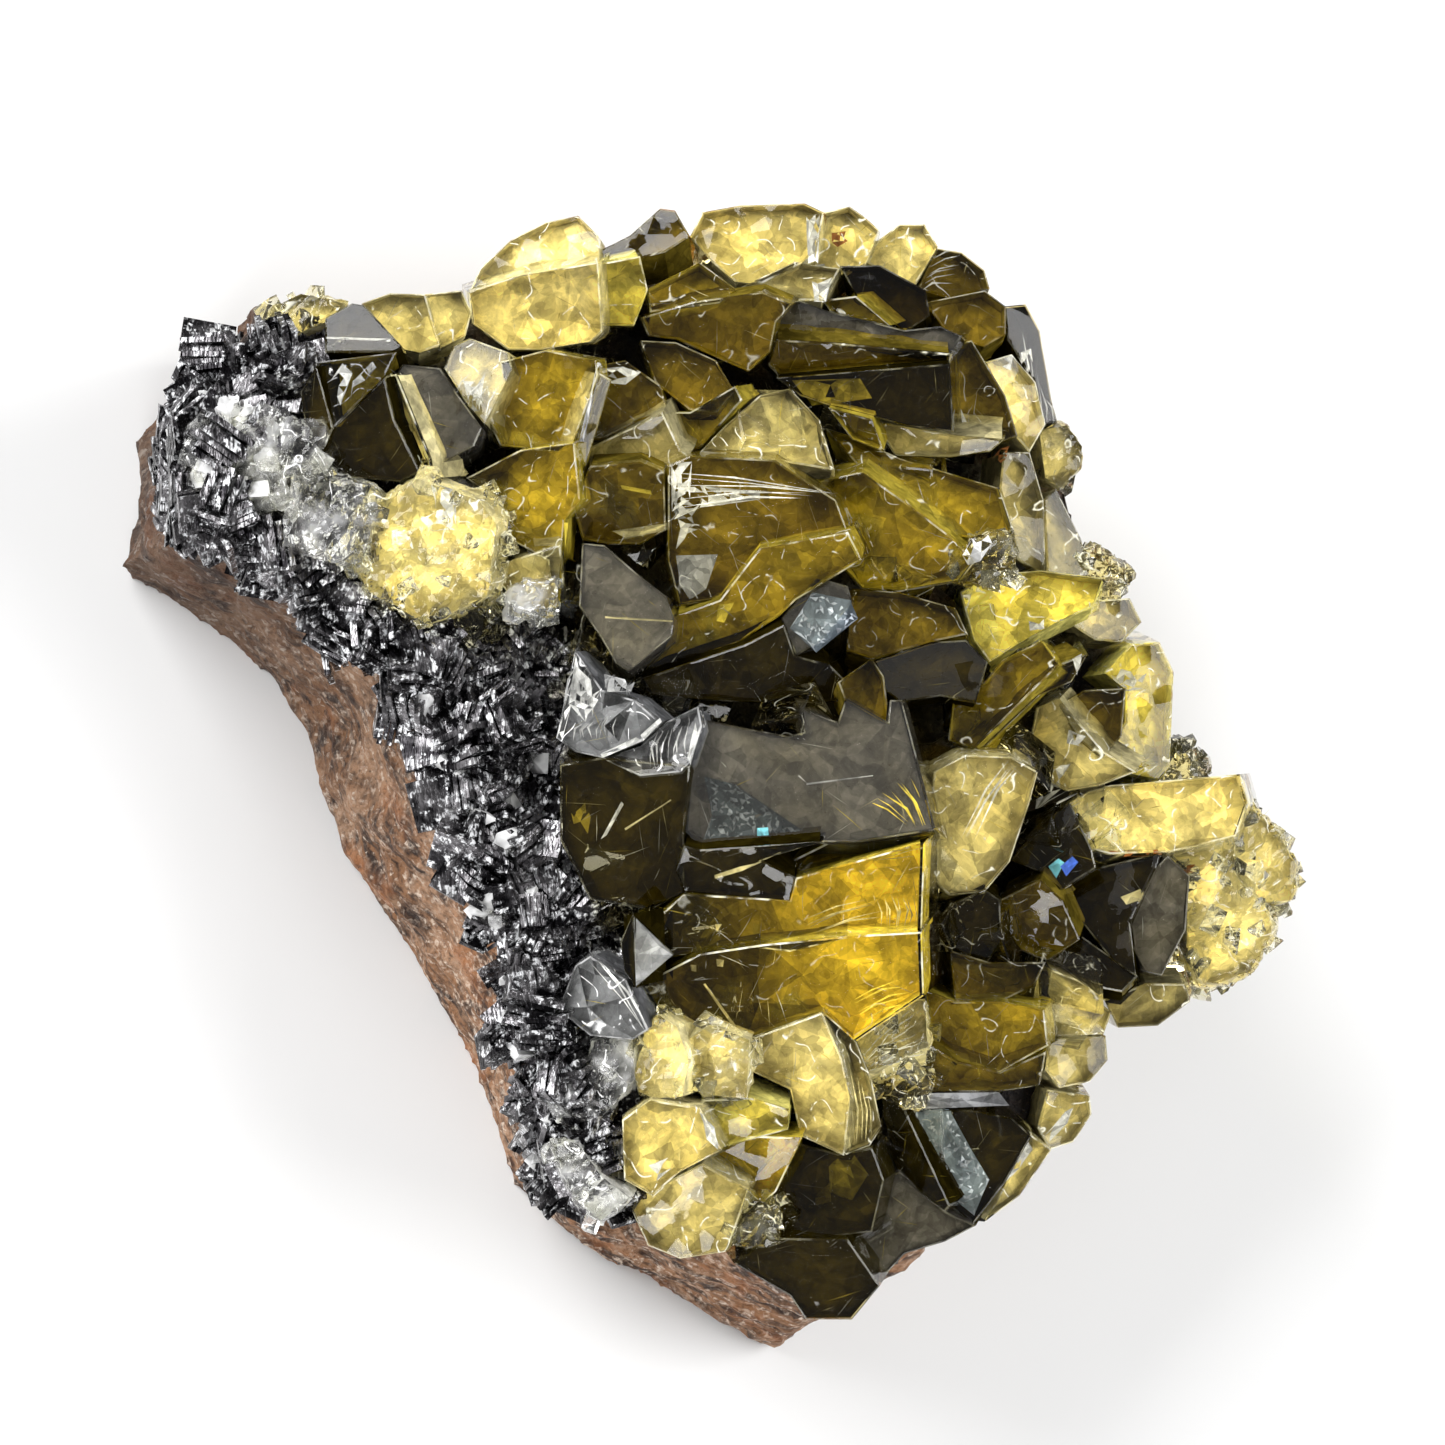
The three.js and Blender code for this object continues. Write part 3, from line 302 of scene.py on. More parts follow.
# What each crystal is like: haze whitens it, broken tilts small parts of its faces, crumble breaks its surface,
# glow is how bright the sheet of painted light is that lies depth millimetres under its face and stands for the
# light inside the crystal, cover is how much of that sheet is left, and tint is its colour.
KIND_PARTS = ("haze", "broken", "crumble", "glow", "depth", "cover", "tint")
KIND_ROWS = {
    # black and clear: a dark sheet of painted shade under faces that lie in shade.
    "black": (0.0, 0.1, 0.0, 0.02, 1.2, 1.0, "amber"),
    "clear": (0.0, 0.0, 0.0, 0.03, 3.0, 1.0, "amber"),
    "smoky": (0.01, 0.5, 0.0, 0.23, 2.0, 1.0, "amber"),
    "olive": (0.02, 0.7, 0.0, 0.58, 2.2, 1.0, "gold"),
    "straw": (0.05, 1.0, 0.0, 0.66, 1.3, 1.0, "straw"),
    "gold": (0.02, 0.4, 0.0, 1.45, 2.6, 1.0, "gold"),
    "lemon": (0.04, 0.9, 0.0, 1.10, 1.8, 1.0, "lemon"),
    "pale": (0.07, 1.0, 0.0, 1.05, 1.4, 1.0, "straw"),
    "bright": (0.06, 1.0, 0.0, 1.10, 1.6, 1.0, "straw"),
    "crumbly": (0.14, 1.0, 0.6, 1.00, 1.2, 1.0, "straw"),
    "silver": (0.3, 1.0, 0.6, 0.9, 1.2, 0.5, "white"),
    "shell": (0.10, 1.0, 0.0, 0.30, 0.8, 0.7, "silver"),
    # grey: a grey sheet of painted reflection under the big faces, for the room that they mirror.
    "grey": (0.0, 0.05, 0.0, 0.12, 0.7, 1.0, "taupe"),
    "white": (0.95, 0.0, 0.0, 0.0, 1.0, 0.0, "white"),
}
KINDS = {kind: dict(zip(KIND_PARTS, row)) for kind, row in KIND_ROWS.items()}
# The faces of each kind. Those that no kind names are pale.
KIND_OF = {
    # The black and clear faces have a dark sheet of painted shade under them.
    "black": """dark_trapezoid dark_hollow dark_ravine black_interior dark_glow rough_foot speckled_side
        dark_pocket pocket_pane pocket_edge rainbow_face speckled_triangle dark_block_face dark_splinter
        under_ledge dark_pane""",
    "clear": "grey_blade light_triangle light_triangle_side lined_edge",
    "shell": "ribbed_shell clear_splinter white_edged",
    # The grey faces have a sheet of painted reflection under them.
    "grey": "great_grey_face grey_hexagon grey_ledge grey_pane light_pane grey_rhombus grey_slab",
    "smoky": """long_dark_face dark_shelf brown_step smoky_gable smoky_pane grey_step tall_side lower_triangle
        small_triangle amber_corner pocket_wedge pocket_sill olive_cube olive_gem_foot prism_lower feather_face
        lined_pane grey_peak""",
    "olive": """olive_gable olive_right olive_slope prism_upper olive_gem_top olive_sliver feather_foot small_yellow
        lined_wedge gold_face_lower gold_face_upper""",
    "straw": """olive_wedge pale_cube pale_ridge feather_top pale_gem pale_knob pale_gem_foot pale_column pale_fin
        pale_lump_front tan_lump pale_band shattered_face pale_foot clear_gable pale_chip""",
    "gold": "window_upper window_lower window_lintel tan_wedge",
    "lemon": "yellow_front yellow_brow bright_blade orange_block",
    "bright": "bright_block rusty_block yellow_heart pale_lump_side pale_corner gold_face_rim grey_pane_side",
    "crumbly": """crumbly_tip edge_crumb clear_cap crumbly_foot crumbly_head white_cube yellow_tooth
        bright_splinters""",
    "silver": "sparkling_flank silver_heel",
}
# The crystals without colour, at the border with the crust.
COLOURLESS = """sparkling_flank silver_heel ribbed_shell clear_splinter white_edged lower_triangle
    white_lump""".split()
KIND_BY_NAME = {name: kind for kind, names in KIND_OF.items() for name in names.split()}
# What is like a kind but has no row among the faces.
KIND_BY_NAME.update({"crumbly_lump": "crumbly", "white_lump": "silver", "olive_corner": "smoky",
                     "small_crystal": "smoky", "crumb": "crumbly", "grain": "white"})


def kind_of(name):
    return KINDS[KIND_BY_NAME.get(name, "pale")]


# Sight lines.

def lean_turn(degrees, side):
    """A turn that leans upright by some degrees toward a side of the picture."""
    side = math.radians(side)
    return Quaternion((-math.sin(side), math.cos(side), 0), math.radians(degrees))


UP = Vector((0, 0, 1))
PICTURE_TURN = lean_turn(SIGHT_LEAN, SIGHT_TOWARD).inverted()
FOCUS_DEPTH = SIGHT_HEIGHT / math.cos(math.radians(SIGHT_LEAN))
SIGHT = PICTURE_TURN @ UP
EYE = PICTURE_TURN @ Vector((0, 0, FOCUS_DEPTH + SIGHT_DISTANCE))
PICTURE_FRAME = PICTURE_TURN.to_matrix().to_4x4()


def seen_on(x, y, point, normal):
    """Where the line of sight through a place in the picture meets a plane."""
    middle = PICTURE_WIDTH / 2
    place = Vector(((x - middle) * MM_PER_PIXEL, (middle - y) * MM_PER_PIXEL, FOCUS_DEPTH))
    along = PICTURE_TURN @ place - EYE
    return EYE + along * ((point - EYE).dot(normal) / along.dot(normal))


def seen_at(x, y, height):
    """Where the line of sight through a place in the picture is at a height."""
    return seen_on(x, y, UP * height, UP)


def middle_of(points):
    return sum(points, Vector()) / len(points)


def face_plane(corners, height, lean, side):
    """The corners of a face, its middle and its normal."""
    spot = middle_of([seen_at(x, y, height) for x, y in corners])
    normal = PICTURE_TURN @ (lean_turn(lean, side) @ UP)
    places = [seen_on(x, y, spot, normal) for x, y in corners]
    return places, middle_of(places), normal


def picture_place(point):
    """Where a point shows in the picture."""
    ray = PICTURE_TURN.inverted() @ (point - EYE)
    scale = SIGHT_DISTANCE / (-ray.z * MM_PER_PIXEL)
    return PICTURE_WIDTH / 2 + ray.x * scale, PICTURE_WIDTH / 2 - ray.y * scale


# Meshes.

def add_object(name, data):
    thing = bpy.data.objects.new(name, data)
    bpy.context.scene.collection.objects.link(thing)
    return thing


def place_mesh(name, mesh):
    """An object for a mesh in millimetres, in its place."""
    mesh.transform(Matrix.Diagonal((MM, MM, MM, 1)) @ Matrix.Translation(CENTRE_SHIFT))
    return add_object(name, mesh)


def mesh_of(shape, name):
    """A shape as a mesh. The shape is freed."""
    mesh = bpy.data.meshes.new(name)
    shape.normal_update()
    shape.to_mesh(mesh)
    shape.free()
    return mesh


def shape_of(mesh):
    """A mesh as a shape. The mesh is removed."""
    shape = bmesh.new()
    shape.from_mesh(mesh)
    bpy.data.meshes.remove(mesh)
    return shape


def add_shape(whole, shape, name):
    """Moves a shape's faces into another. Returns how many there were."""
    mesh = mesh_of(shape, name)
    before = len(whole.faces)
    whole.from_mesh(mesh)
    bpy.data.meshes.remove(mesh)
    return len(whole.faces) - before


def cube_shape(size=1.0):
    shape = bmesh.new()
    bmesh.ops.create_cube(shape, size=size)
    return shape


def cut_edges(shape, width):
    bmesh.ops.bevel(shape, geom=shape.edges[:], offset=width, segments=1, profile=0.5, affect="EDGES")


def evaluated_mesh(thing):
    """What the modifiers make of an object, as a plain mesh. The modifiers are removed."""
    depsgraph = bpy.context.evaluated_depsgraph_get()
    mesh = bpy.data.meshes.new_from_object(thing.evaluated_get(depsgraph))
    thing.modifiers.clear()
    return mesh


def outward(shape):
    """Turns a closed shape's faces outward."""
    bmesh.ops.recalc_face_normals(shape, faces=shape.faces[:])


def inset(places, normal, width):
    """The corners of a face moved in by a width. They run counter-clockwise about the normal."""
    moved = []
    for i, corner in enumerate(places):
        before = normal.cross((corner - places[i - 1]).normalized())
        after = normal.cross((places[(i + 1) % len(places)] - corner).normalized())
        moved.append(corner + (before + after) * (width / max(0.5, 1 + before.dot(after))))
    return moved


def rings_shape(rings):
    """A closed solid through rings of points, from the lowest up, each counter-clockwise seen from above."""
    shape = bmesh.new()
    rows = [[shape.verts.new(p) for p in ring] for ring in rings]
    shape.faces.new(rows[0][::-1])
    shape.faces.new(rows[-1])
    for low, high in zip(rows, rows[1:]):
        for i in range(len(low)):
            j = (i + 1) % len(low)
            shape.faces.new((low[i], low[j], high[j], high[i]))
    outward(shape)
    return shape


def turns_left(places, normal):
    """True if the corners run counter-clockwise about the normal."""
    area = sum(((b - places[0]).cross(c - places[0]) for b, c in zip(places[1:], places[2:])), Vector())
    return area.dot(normal) > 0


EDGE_WIDTH = 0.12  # of the broken edge along a crystal's face
CRUMB_VOXEL = 0.5  # the size of the faces of a crumbly surface
STEP_LENGTH = 0.9  # of the small steps on a crumbly surface
STEP_DEPTH = 0.34
FINE_STEP_SHARE = 0.4  # of a step's length
WAVE_LENGTH = 2.5
STEP_SINK = 0.4  # how far the steps lie under the first surface, as a share of their depth
STEP_TURN = Vector((1, 2, 3)).normalized()  # the patterns of two crystals are turned about this
STEP_AWAY = (7.3, 3.1)  # and this far apart


def break_surface(shape, amount, seed):
    """Breaks a crystal's surface into small steps, more where amount is higher."""
    bmesh.ops.triangulate(shape, faces=shape.faces[:])
    shape = shape_of(remeshed(mesh_of(shape, "whole_crystal"), CRUMB_VOXEL))
    shape.normal_update()
    turn = Quaternion(STEP_TURN, seed)
    away = Vector((seed * STEP_AWAY[0], seed * STEP_AWAY[1], 0))
    for vert in shape.verts:
        place = turn @ vert.co + away
        step = noise.cell(place / STEP_LENGTH) - 0.5
        fine = noise.cell(place / (STEP_LENGTH * FINE_STEP_SHARE)) - 0.5
        wave = noise.noise(place / WAVE_LENGTH)
        vert.co -= vert.normal * amount * STEP_DEPTH * (step + 0.5 * fine + wave + STEP_SINK)
    return shape


def crystal_shape(name, index):
    """A crystal with its walls, from its face down to the roots."""
    corners, height, lean, side = FACES[name]
    top, middle, normal = face_plane(corners, height, lean, side)
    if not turns_left(top, normal):
        top.reverse()
    down = (SIGHT + normal).normalized() * (ROOT_HEIGHT - height)
    root = [middle.lerp(p, WALL_SPREAD) + down for p in top]
    shoulder = [p + down.normalized() * EDGE_WIDTH for p in top]
    shape = rings_shape([root, shoulder, inset(top, normal, EDGE_WIDTH)])
    crumble = kind_of(name)["crumble"]
    return break_surface(shape, crumble, index + 1) if crumble else shape


LUMP_REACH = (0.62, 1.12)  # how far a broken piece's corners stand out, as a share of its size
LUMP_DRAW_SEED = 101
LUMP_STEP_SEED = 60
CORNER_UP = Vector((1, 1, 1)).rotation_difference(UP).to_matrix().to_4x4()  # stands a cube on its corner


def lump_shape(index, row):
    """A broken piece from its row."""
    x, y, height, length, width, depth, spin = row
    draw = random.Random(LUMP_DRAW_SEED + index)
    shape = cube_shape()
    for vert in shape.verts:
        reach = [draw.uniform(*LUMP_REACH) for _ in range(3)]
        vert.co = Vector([c * full * share for c, full, share in zip(vert.co, (length, width, depth), reach)])
    place = Matrix.Translation(seen_at(x, y, height)) @ PICTURE_FRAME
    place = place @ Matrix.Rotation(math.radians(spin), 4, "Z") @ Matrix.Translation((0, 0, -depth / 4))
    shape.transform(place)
    return break_surface(shape, 1, LUMP_STEP_SEED + index)


def corner_shape(row):
    """A cube that stands on its corner, from its row."""
    x, y, height, edge, spin, lean = row
    shape = cube_shape(edge)
    place = Matrix.Translation(seen_at(x, y, height)) @ PICTURE_FRAME
    place = place @ lean_turn(lean, 3 * spin).to_matrix().to_4x4() @ Matrix.Rotation(math.radians(spin), 4, "Z")
    shape.transform(place @ CORNER_UP @ Matrix.Translation((-edge / 2, -edge / 2, -edge / 2)))
    cut_edges(shape, EDGE_WIDTH)
    return shape


CURVE_STEPS = 12  # of a smooth curve between two places


def smooth_outline(places, height, steps):
    """Points at equal steps along a smooth closed curve through the places."""
    points = [seen_at(x, y, height) for x, y in places]
    count = len(points)
    fine = []
    for i in range(count):
        a, b, c, d = (points[(i + k) % count] for k in (-1, 0, 1, 2))
        for k in range(CURVE_STEPS):
            t = k / CURVE_STEPS
            fine.append(0.5 * (2 * b + (c - a) * t + (2 * a - 5 * b + 4 * c - d) * t * t
                               + (3 * b - a - 3 * c + d) * t ** 3))
    lengths = [0]
    for i, point in enumerate(fine):
        lengths.append(lengths[-1] + (fine[(i + 1) % len(fine)] - point).length)
    result = []
    spot = 0
    for k in range(steps):
        goal = lengths[-1] * k / steps
        while lengths[spot + 1] < goal:
            spot += 1
        share = (goal - lengths[spot]) / (lengths[spot + 1] - lengths[spot])
        result.append(fine[spot].lerp(fine[(spot + 1) % len(fine)], share))
    return result


def bed_shape():
    """The layer that all the crystals stand on."""
    rings = []
    for share, height in BED_RINGS:
        outline = smooth_outline(BED_EDGE, height, BED_STEPS)
        middle = middle_of(outline)
        rings.append([middle.lerp(p, share) for p in outline])
    return rings_shape(rings)


# Shader maths.

class Shade:
    """A socket of a paint's nodes. Arithmetic on it adds Math nodes."""

    def __init__(self, paint, socket):
        self.paint = paint
        self.socket = socket

    def math(self, operation, *values):
        return self.paint.node("ShaderNodeMath", {"operation": operation}, dict(enumerate(values)))

    def __add__(self, other):
        return self.math("ADD", self, other)

    def __radd__(self, other):
        return self.math("ADD", other, self)

    def __sub__(self, other):
        return self.math("SUBTRACT", self, other)

    def __rsub__(self, other):
        return self.math("SUBTRACT", other, self)

    def __mul__(self, other):
        return self.math("MULTIPLY", self, other)

    def __pow__(self, other):
        return self.math("POWER", self, other)

    def size_of(self):
        """The value without its sign."""
        return self.math("ABSOLUTE", self)

    def span(self, low, high, start=0.0, end=1.0):
        """Runs from start to end as the value goes from low to high, and no further."""
        places = {"Value": self, "From Min": low, "From Max": high, "To Min": start, "To Max": end}
        return self.paint.node("ShaderNodeMapRange", {"interpolation_type": "SMOOTHSTEP"}, places, "Result")


class Paint:
    """One material and its nodes. Its place is the point's place in the object."""

    def __init__(self, name):
        self.material = bpy.data.materials.new(name)
        self.material.use_nodes = True
        self.tree = self.material.node_tree
        self.tree.nodes.clear()
        self.end = self.tree.nodes.new("ShaderNodeOutputMaterial")
        self.place = self.node("ShaderNodeTexCoord", {}, {}, "Object")

    def node(self, kind, settings, values, out=0):
        """Adds a node. Settings are set first, then the values or links of its sockets."""
        node = self.tree.nodes.new(kind)
        for name, value in settings.items():
            setattr(node, name, value)
        for key, value in values.items():
            self.fill(node.inputs[key], value)
        return Shade(self, node.outputs[out])

    def fill(self, socket, value):
        if isinstance(value, Shade):
            self.tree.links.new(value.socket, socket)
        elif isinstance(value, tuple) and len(value) == 3 and socket.type == "RGBA":
            socket.default_value = (*value, 1)
        else:
            socket.default_value = value

    def noise(self, size, detail=4.0, rough=0.55, place=None, twist=0.0):
        """Cloudy values from 0 to 1, in lumps of about that size in millimetres."""
        values = {"Vector": place or self.place, "Scale": 1 / (size * MM), "Detail": detail, "Roughness": rough,
                  "Distortion": twist}
        return self.node("ShaderNodeTexNoise", {}, values, "Fac")

    def cells(self, size, place=None):
        """A random colour for each angular cell of about that size in millimetres."""
        values = {"Vector": place or self.place, "Scale": 1 / (size * MM)}
        return self.node("ShaderNodeTexVoronoi", {}, values, "Color")

    def vector(self, operation, values, out=0):
        return self.node("ShaderNodeVectorMath", {"operation": operation}, values, out)

    def part(self, kind, value, out=0):
        """One part of a colour or of a place."""
        return self.node("ShaderNodeSeparate" + kind, {}, {0: value}, out)

    def mix(self, share, first, second):
        """A colour between two."""
        places = {0: share, 6: first, 7: second}
        return self.node("ShaderNodeMix", {"data_type": "RGBA"}, places, 2)

    def stretched(self, turn, scale):
        """The place in the object, turned and scaled, so that a pattern on it is longer one way."""
        return self.node("ShaderNodeMapping", {}, {"Vector": self.place, "Rotation": turn, "Scale": scale})

    def wavy(self, size, reach):
        """The place in the object, pushed about by up to that many millimetres."""
        values = {"Vector": self.place, "Scale": 1 / (size * MM), "Detail": 1}
        push = self.vector("SUBTRACT", {0: self.node("ShaderNodeTexNoise", {}, values, "Color"), 1: HALVES})
        return self.vector("ADD", {0: self.place, 1: self.vector("SCALE", {0: push, "Scale": 2 * reach * MM})})

    def mark(self, name, out="Fac"):
        """A mark that the mesh carries."""
        return self.node("ShaderNodeAttribute", {"attribute_name": name}, {}, out)

    def bump(self, height, depth, strength=1.0):
        """A normal from a height between 0 and 1, that deep in millimetres."""
        return self.node("ShaderNodeBump", {}, {"Height": height, "Distance": depth * MM, "Strength": strength})

    def surface(self, values):
        return self.node("ShaderNodeBsdfPrincipled", {}, values)

    def blend(self, share, first, second):
        """One shader mixed into another."""
        return self.node("ShaderNodeMixShader", {}, {0: share, 1: first, 2: second})

    def finish(self, surface, volume=None):
        self.fill(self.end.inputs["Surface"], surface)
        if volume:
            self.fill(self.end.inputs["Volume"], volume)
        return self.material


# Materials.

HALVES = (0.5, 0.5, 0.5)
WHITE = (1, 1, 1)
FLUORITE_IOR = 1.434
ABSORBED_TINT = (0.93, 0.79, 0.08)
YELLOW_DENSITY = 230  # of what takes the light, per metre
CLEAR_DENSITY = 12
YELLOW_MILK = ((0.80, 0.74, 0.42), (0.95, 0.93, 0.80))  # the two colours of small cracks
CLEAR_MILK = ((0.80, 0.80, 0.80), (0.95, 0.95, 0.95))
LAMP_TINT = (0.92, 0.92, 0.86)  # of the light that a crystal lets through
LEDGE_SLOPE = 3.2  # how steep the tilted parts of a broken face are


def fluorite_paint(name, density, milk_tint, milk_white):
    """See-through crystal, hazy where it is full of small cracks."""
    paint = Paint(name)
    haze = paint.mark("haze")
    crumble = paint.mark("crumble")
    cloud = paint.noise(2.2, 2, 0.62)
    wisps = paint.noise(0.7, 1, 0.6)
    ripple = paint.noise(0.45, 0, 0.5)
    relief = paint.noise(2.4, 0, 0.5) * 0.6 + ripple * (0.02 + crumble * 0.3)
    tilt = paint.vector("SUBTRACT", {0: paint.cells(1.6), 1: HALVES})
    ledges = paint.vector("DOT_PRODUCT", {0: tilt, 1: paint.place}, "Value")
    normal = paint.bump(relief + ledges * paint.mark("broken") * (LEDGE_SLOPE / MM), 0.12, 0.5)
    clear = paint.surface({
        "Base Color": WHITE, "Roughness": cloud.span(0.3, 0.7, 0.01, 0.03) + haze * 0.2, "IOR": FLUORITE_IOR,
        "Transmission Weight": 1, "Normal": normal})
    milk = paint.surface({
        "Base Color": paint.mix(wisps.span(0.35, 0.7), milk_tint, milk_white),
        "Roughness": 0.35, "IOR": FLUORITE_IOR, "Normal": normal})
    # White along the broken edges, partly painted light by the crystal's glow, along thin cracks and where it is
    # hazy.
    edge = paint.mark("edge") * cloud.span(0.42, 0.6, 0.05, 0.9)
    crack = (paint.noise(3.4, 1, 0.6) - 0.5).size_of().span(0.0, 0.012, 0.8, 0.0)
    crack = crack * wisps.span(0.45, 0.55) * paint.mark("broken")
    share = (haze * cloud.span(0.35, 0.75, 0.25, 1.6) + edge + crack).span(0.0, 1.0)
    body = paint.blend(share, clear, milk)
    # The lamps' rays go through, and the inside takes its share of the light.
    lamp_ray = paint.node("ShaderNodeLightPath", {}, {}, "Is Shadow Ray")
    let_through = paint.node("ShaderNodeBsdfTransparent", {}, {"Color": LAMP_TINT})
    inside = paint.node("ShaderNodeVolumeAbsorption", {}, {"Color": ABSORBED_TINT, "Density": density})
    return paint.finish(paint.blend(lamp_ray, body, let_through), inside)


ROCK_TOP = (0.0185, 0.0225)  # metres over the base, where the rock turns black
# The painted shade at the rock's left end fades out between these places.
ROCK_LEFT = (-0.032, -0.014)  # metres from the middle, where its dark end fades out
ROCK_TINTS = {
    "gap": (0.024, 0.010, 0.005), "brown": (0.25, 0.118, 0.052), "tan": (0.37, 0.215, 0.125),
    "sugar": (0.66, 0.53, 0.42), "rust": (0.32, 0.10, 0.018), "pit": (0.010, 0.005, 0.004),
    "painted_shade": (0.020, 0.011, 0.008), "top": (0.010, 0.009, 0.012),
}
CRUST_TINTS = {"black": (0.012, 0.011, 0.013), "grey": (0.25, 0.24, 0.25), "bright": (0.85, 0.86, 0.88)}
FLOOR_TINTS = ((0.86, 0.86, 0.86), (0.88, 0.88, 0.88))


def rock_paint():
    """Layered brown rock, sugary and rusty, with painted shade at its left end and black under the crystals."""
    paint = Paint("brown_rock")
    layers = paint.noise(3.2, 5, 0.6, paint.stretched((0.1, 0.3, 0.6), (0.25, 1.6, 3.0)), 0.8)
    lumps = paint.noise(4.5, 6, 0.65)
    grain = paint.noise(0.42, 3, 0.6)
    sugar = paint.part("Color", paint.cells(0.5))
    rust = paint.noise(6.0, 4, 0.6).span(0.52, 0.7)
    left = paint.part("XYZ", paint.place, "X") + lumps * 0.01
    brown = paint.mix(layers.span(0.38, 0.62), ROCK_TINTS["gap"], ROCK_TINTS["brown"])
    brown = paint.mix(lumps.span(0.46, 0.62) * 0.85, brown, ROCK_TINTS["tan"])
    brown = paint.mix((sugar * grain.span(0.35, 0.65)) ** 2.2, brown, ROCK_TINTS["sugar"])
    brown = paint.mix(rust * 0.55, brown, ROCK_TINTS["rust"])
    brown = paint.mix(grain.span(0.25, 0.45, 0.7, 0.0), brown, ROCK_TINTS["pit"])
    # Painted shade at the left end, near the crust.
    brown = paint.mix(left.span(*ROCK_LEFT, 0.7, 0.0), brown, ROCK_TINTS["painted_shade"])
    top = (paint.part("XYZ", paint.place, "Z") + lumps * 0.004).span(*ROCK_TOP)
    return paint.finish(paint.surface({
        "Base Color": paint.mix(top, brown, ROCK_TINTS["top"]),
        "Roughness": (0.85 - sugar.span(0.8, 1.0) * 0.55) - top * 0.2,
        "Normal": paint.bump(grain * 0.6 + sugar * 0.4, 0.7)}))


def crust_paint():
    """Black crust with a metal shine and fine grooves."""
    paint = Paint("dark_crust")
    grooves = paint.noise(0.25, 2, 0.5, paint.stretched((0.5, 0.2, 0.9), (1.0, 0.15, 1.0)), 0.4)
    patch = paint.noise(2.4, 4, 0.6)
    pale = paint.noise(0.9, 3, 0.7).span(0.5, 0.6)
    metal = paint.mix(patch.span(0.4, 0.7), CRUST_TINTS["black"], CRUST_TINTS["grey"])
    metal = paint.mix(pale * grooves.span(0.4, 0.6), metal, CRUST_TINTS["bright"])
    return paint.finish(paint.surface({
        "Base Color": metal, "Metallic": 0.9 - pale * 0.6, "Roughness": grooves.span(0.3, 0.7, 0.12, 0.36),
        "Normal": paint.bump(grooves + patch * 0.4, 0.14, 0.8)}))


def painted_glow_paint():
    """The cracks inside the crystals, coloured with painted light: glow, glints, sheen and shade."""
    paint = Paint("painted_glow_crack")
    patch = paint.noise(2.6, 5, 0.66, twist=0.7)
    shards = paint.part("Color", paint.cells(1.5, paint.wavy(0.5, 0.12)))
    chips = paint.part("Color", paint.cells(0.55))
    angular = shards.span(0.0, 1.0, 0.62, 1.12) * chips.span(0.0, 1.0, 0.8, 1.12)
    # The mesh's tint is painted light: the colour and brightness of the light inside the crystal.
    light = paint.vector("SCALE", {0: paint.mark("tint", "Color"),
                                   "Scale": patch.span(0.34, 0.64, 0.62, 1.16) * angular})
    return paint.finish(paint.surface({
        "Base Color": light, "Roughness": 0.6, "Specular IOR Level": 0,
        "Normal": paint.bump(patch + shards * 0.3 + chips * 0.1, 0.3, 0.8)}))


def floor_paint():
    """A plain pale floor, a little uneven."""
    paint = Paint("pale_floor")
    tint = paint.mix(paint.noise(60, 2), *FLOOR_TINTS)
    return paint.finish(paint.surface({"Base Color": tint, "Roughness": 0.8, "Specular IOR Level": 0.1}))


# Node trees for what repeats or grows together.

class Growth:
    """A Geometry Nodes tree with named inputs."""

    def __init__(self, name, inputs):
        self.tree = bpy.data.node_groups.new(name, "GeometryNodeTree")
        self.tree.interface.new_socket("Geometry", in_out="INPUT", socket_type="NodeSocketGeometry")
        self.ids = {}
        for label, kind in inputs.items():
            socket = self.tree.interface.new_socket(label, in_out="INPUT", socket_type=kind)
            self.ids[label] = socket.identifier
        self.tree.interface.new_socket("Geometry", in_out="OUTPUT", socket_type="NodeSocketGeometry")
        self.start = self.tree.nodes.new("NodeGroupInput")
        self.end = self.tree.nodes.new("NodeGroupOutput")

    def node(self, kind, settings=None, values=None):
        node = self.tree.nodes.new(kind)
        for name, value in (settings or {}).items():
            setattr(node, name, value)
        for key, value in (values or {}).items():
            if isinstance(value, bpy.types.NodeSocket):
                self.tree.links.new(value, node.inputs[key])
            else:
                node.inputs[key].default_value = value
        return node

    def link(self, source, target):
        self.tree.links.new(source, target)

    def close(self, geometry, material):
        """Ends the tree in plain faces with their material."""
        plain = self.node("GeometryNodeRealizeInstances", values={0: geometry})
        painted = self.node("GeometryNodeSetMaterial", values={
            "Geometry": plain.outputs[0], "Material": self.start.outputs[material]})
        self.link(painted.outputs[0], self.end.inputs[0])

    def run(self, thing, values):
        """Runs the tree on an object and returns the mesh that it makes."""
        modifier = thing.modifiers.new("growth", "NODES")
        modifier.node_group = self.tree
        for label, value in values.items():
            modifier[self.ids[label]] = value
        return evaluated_mesh(thing)


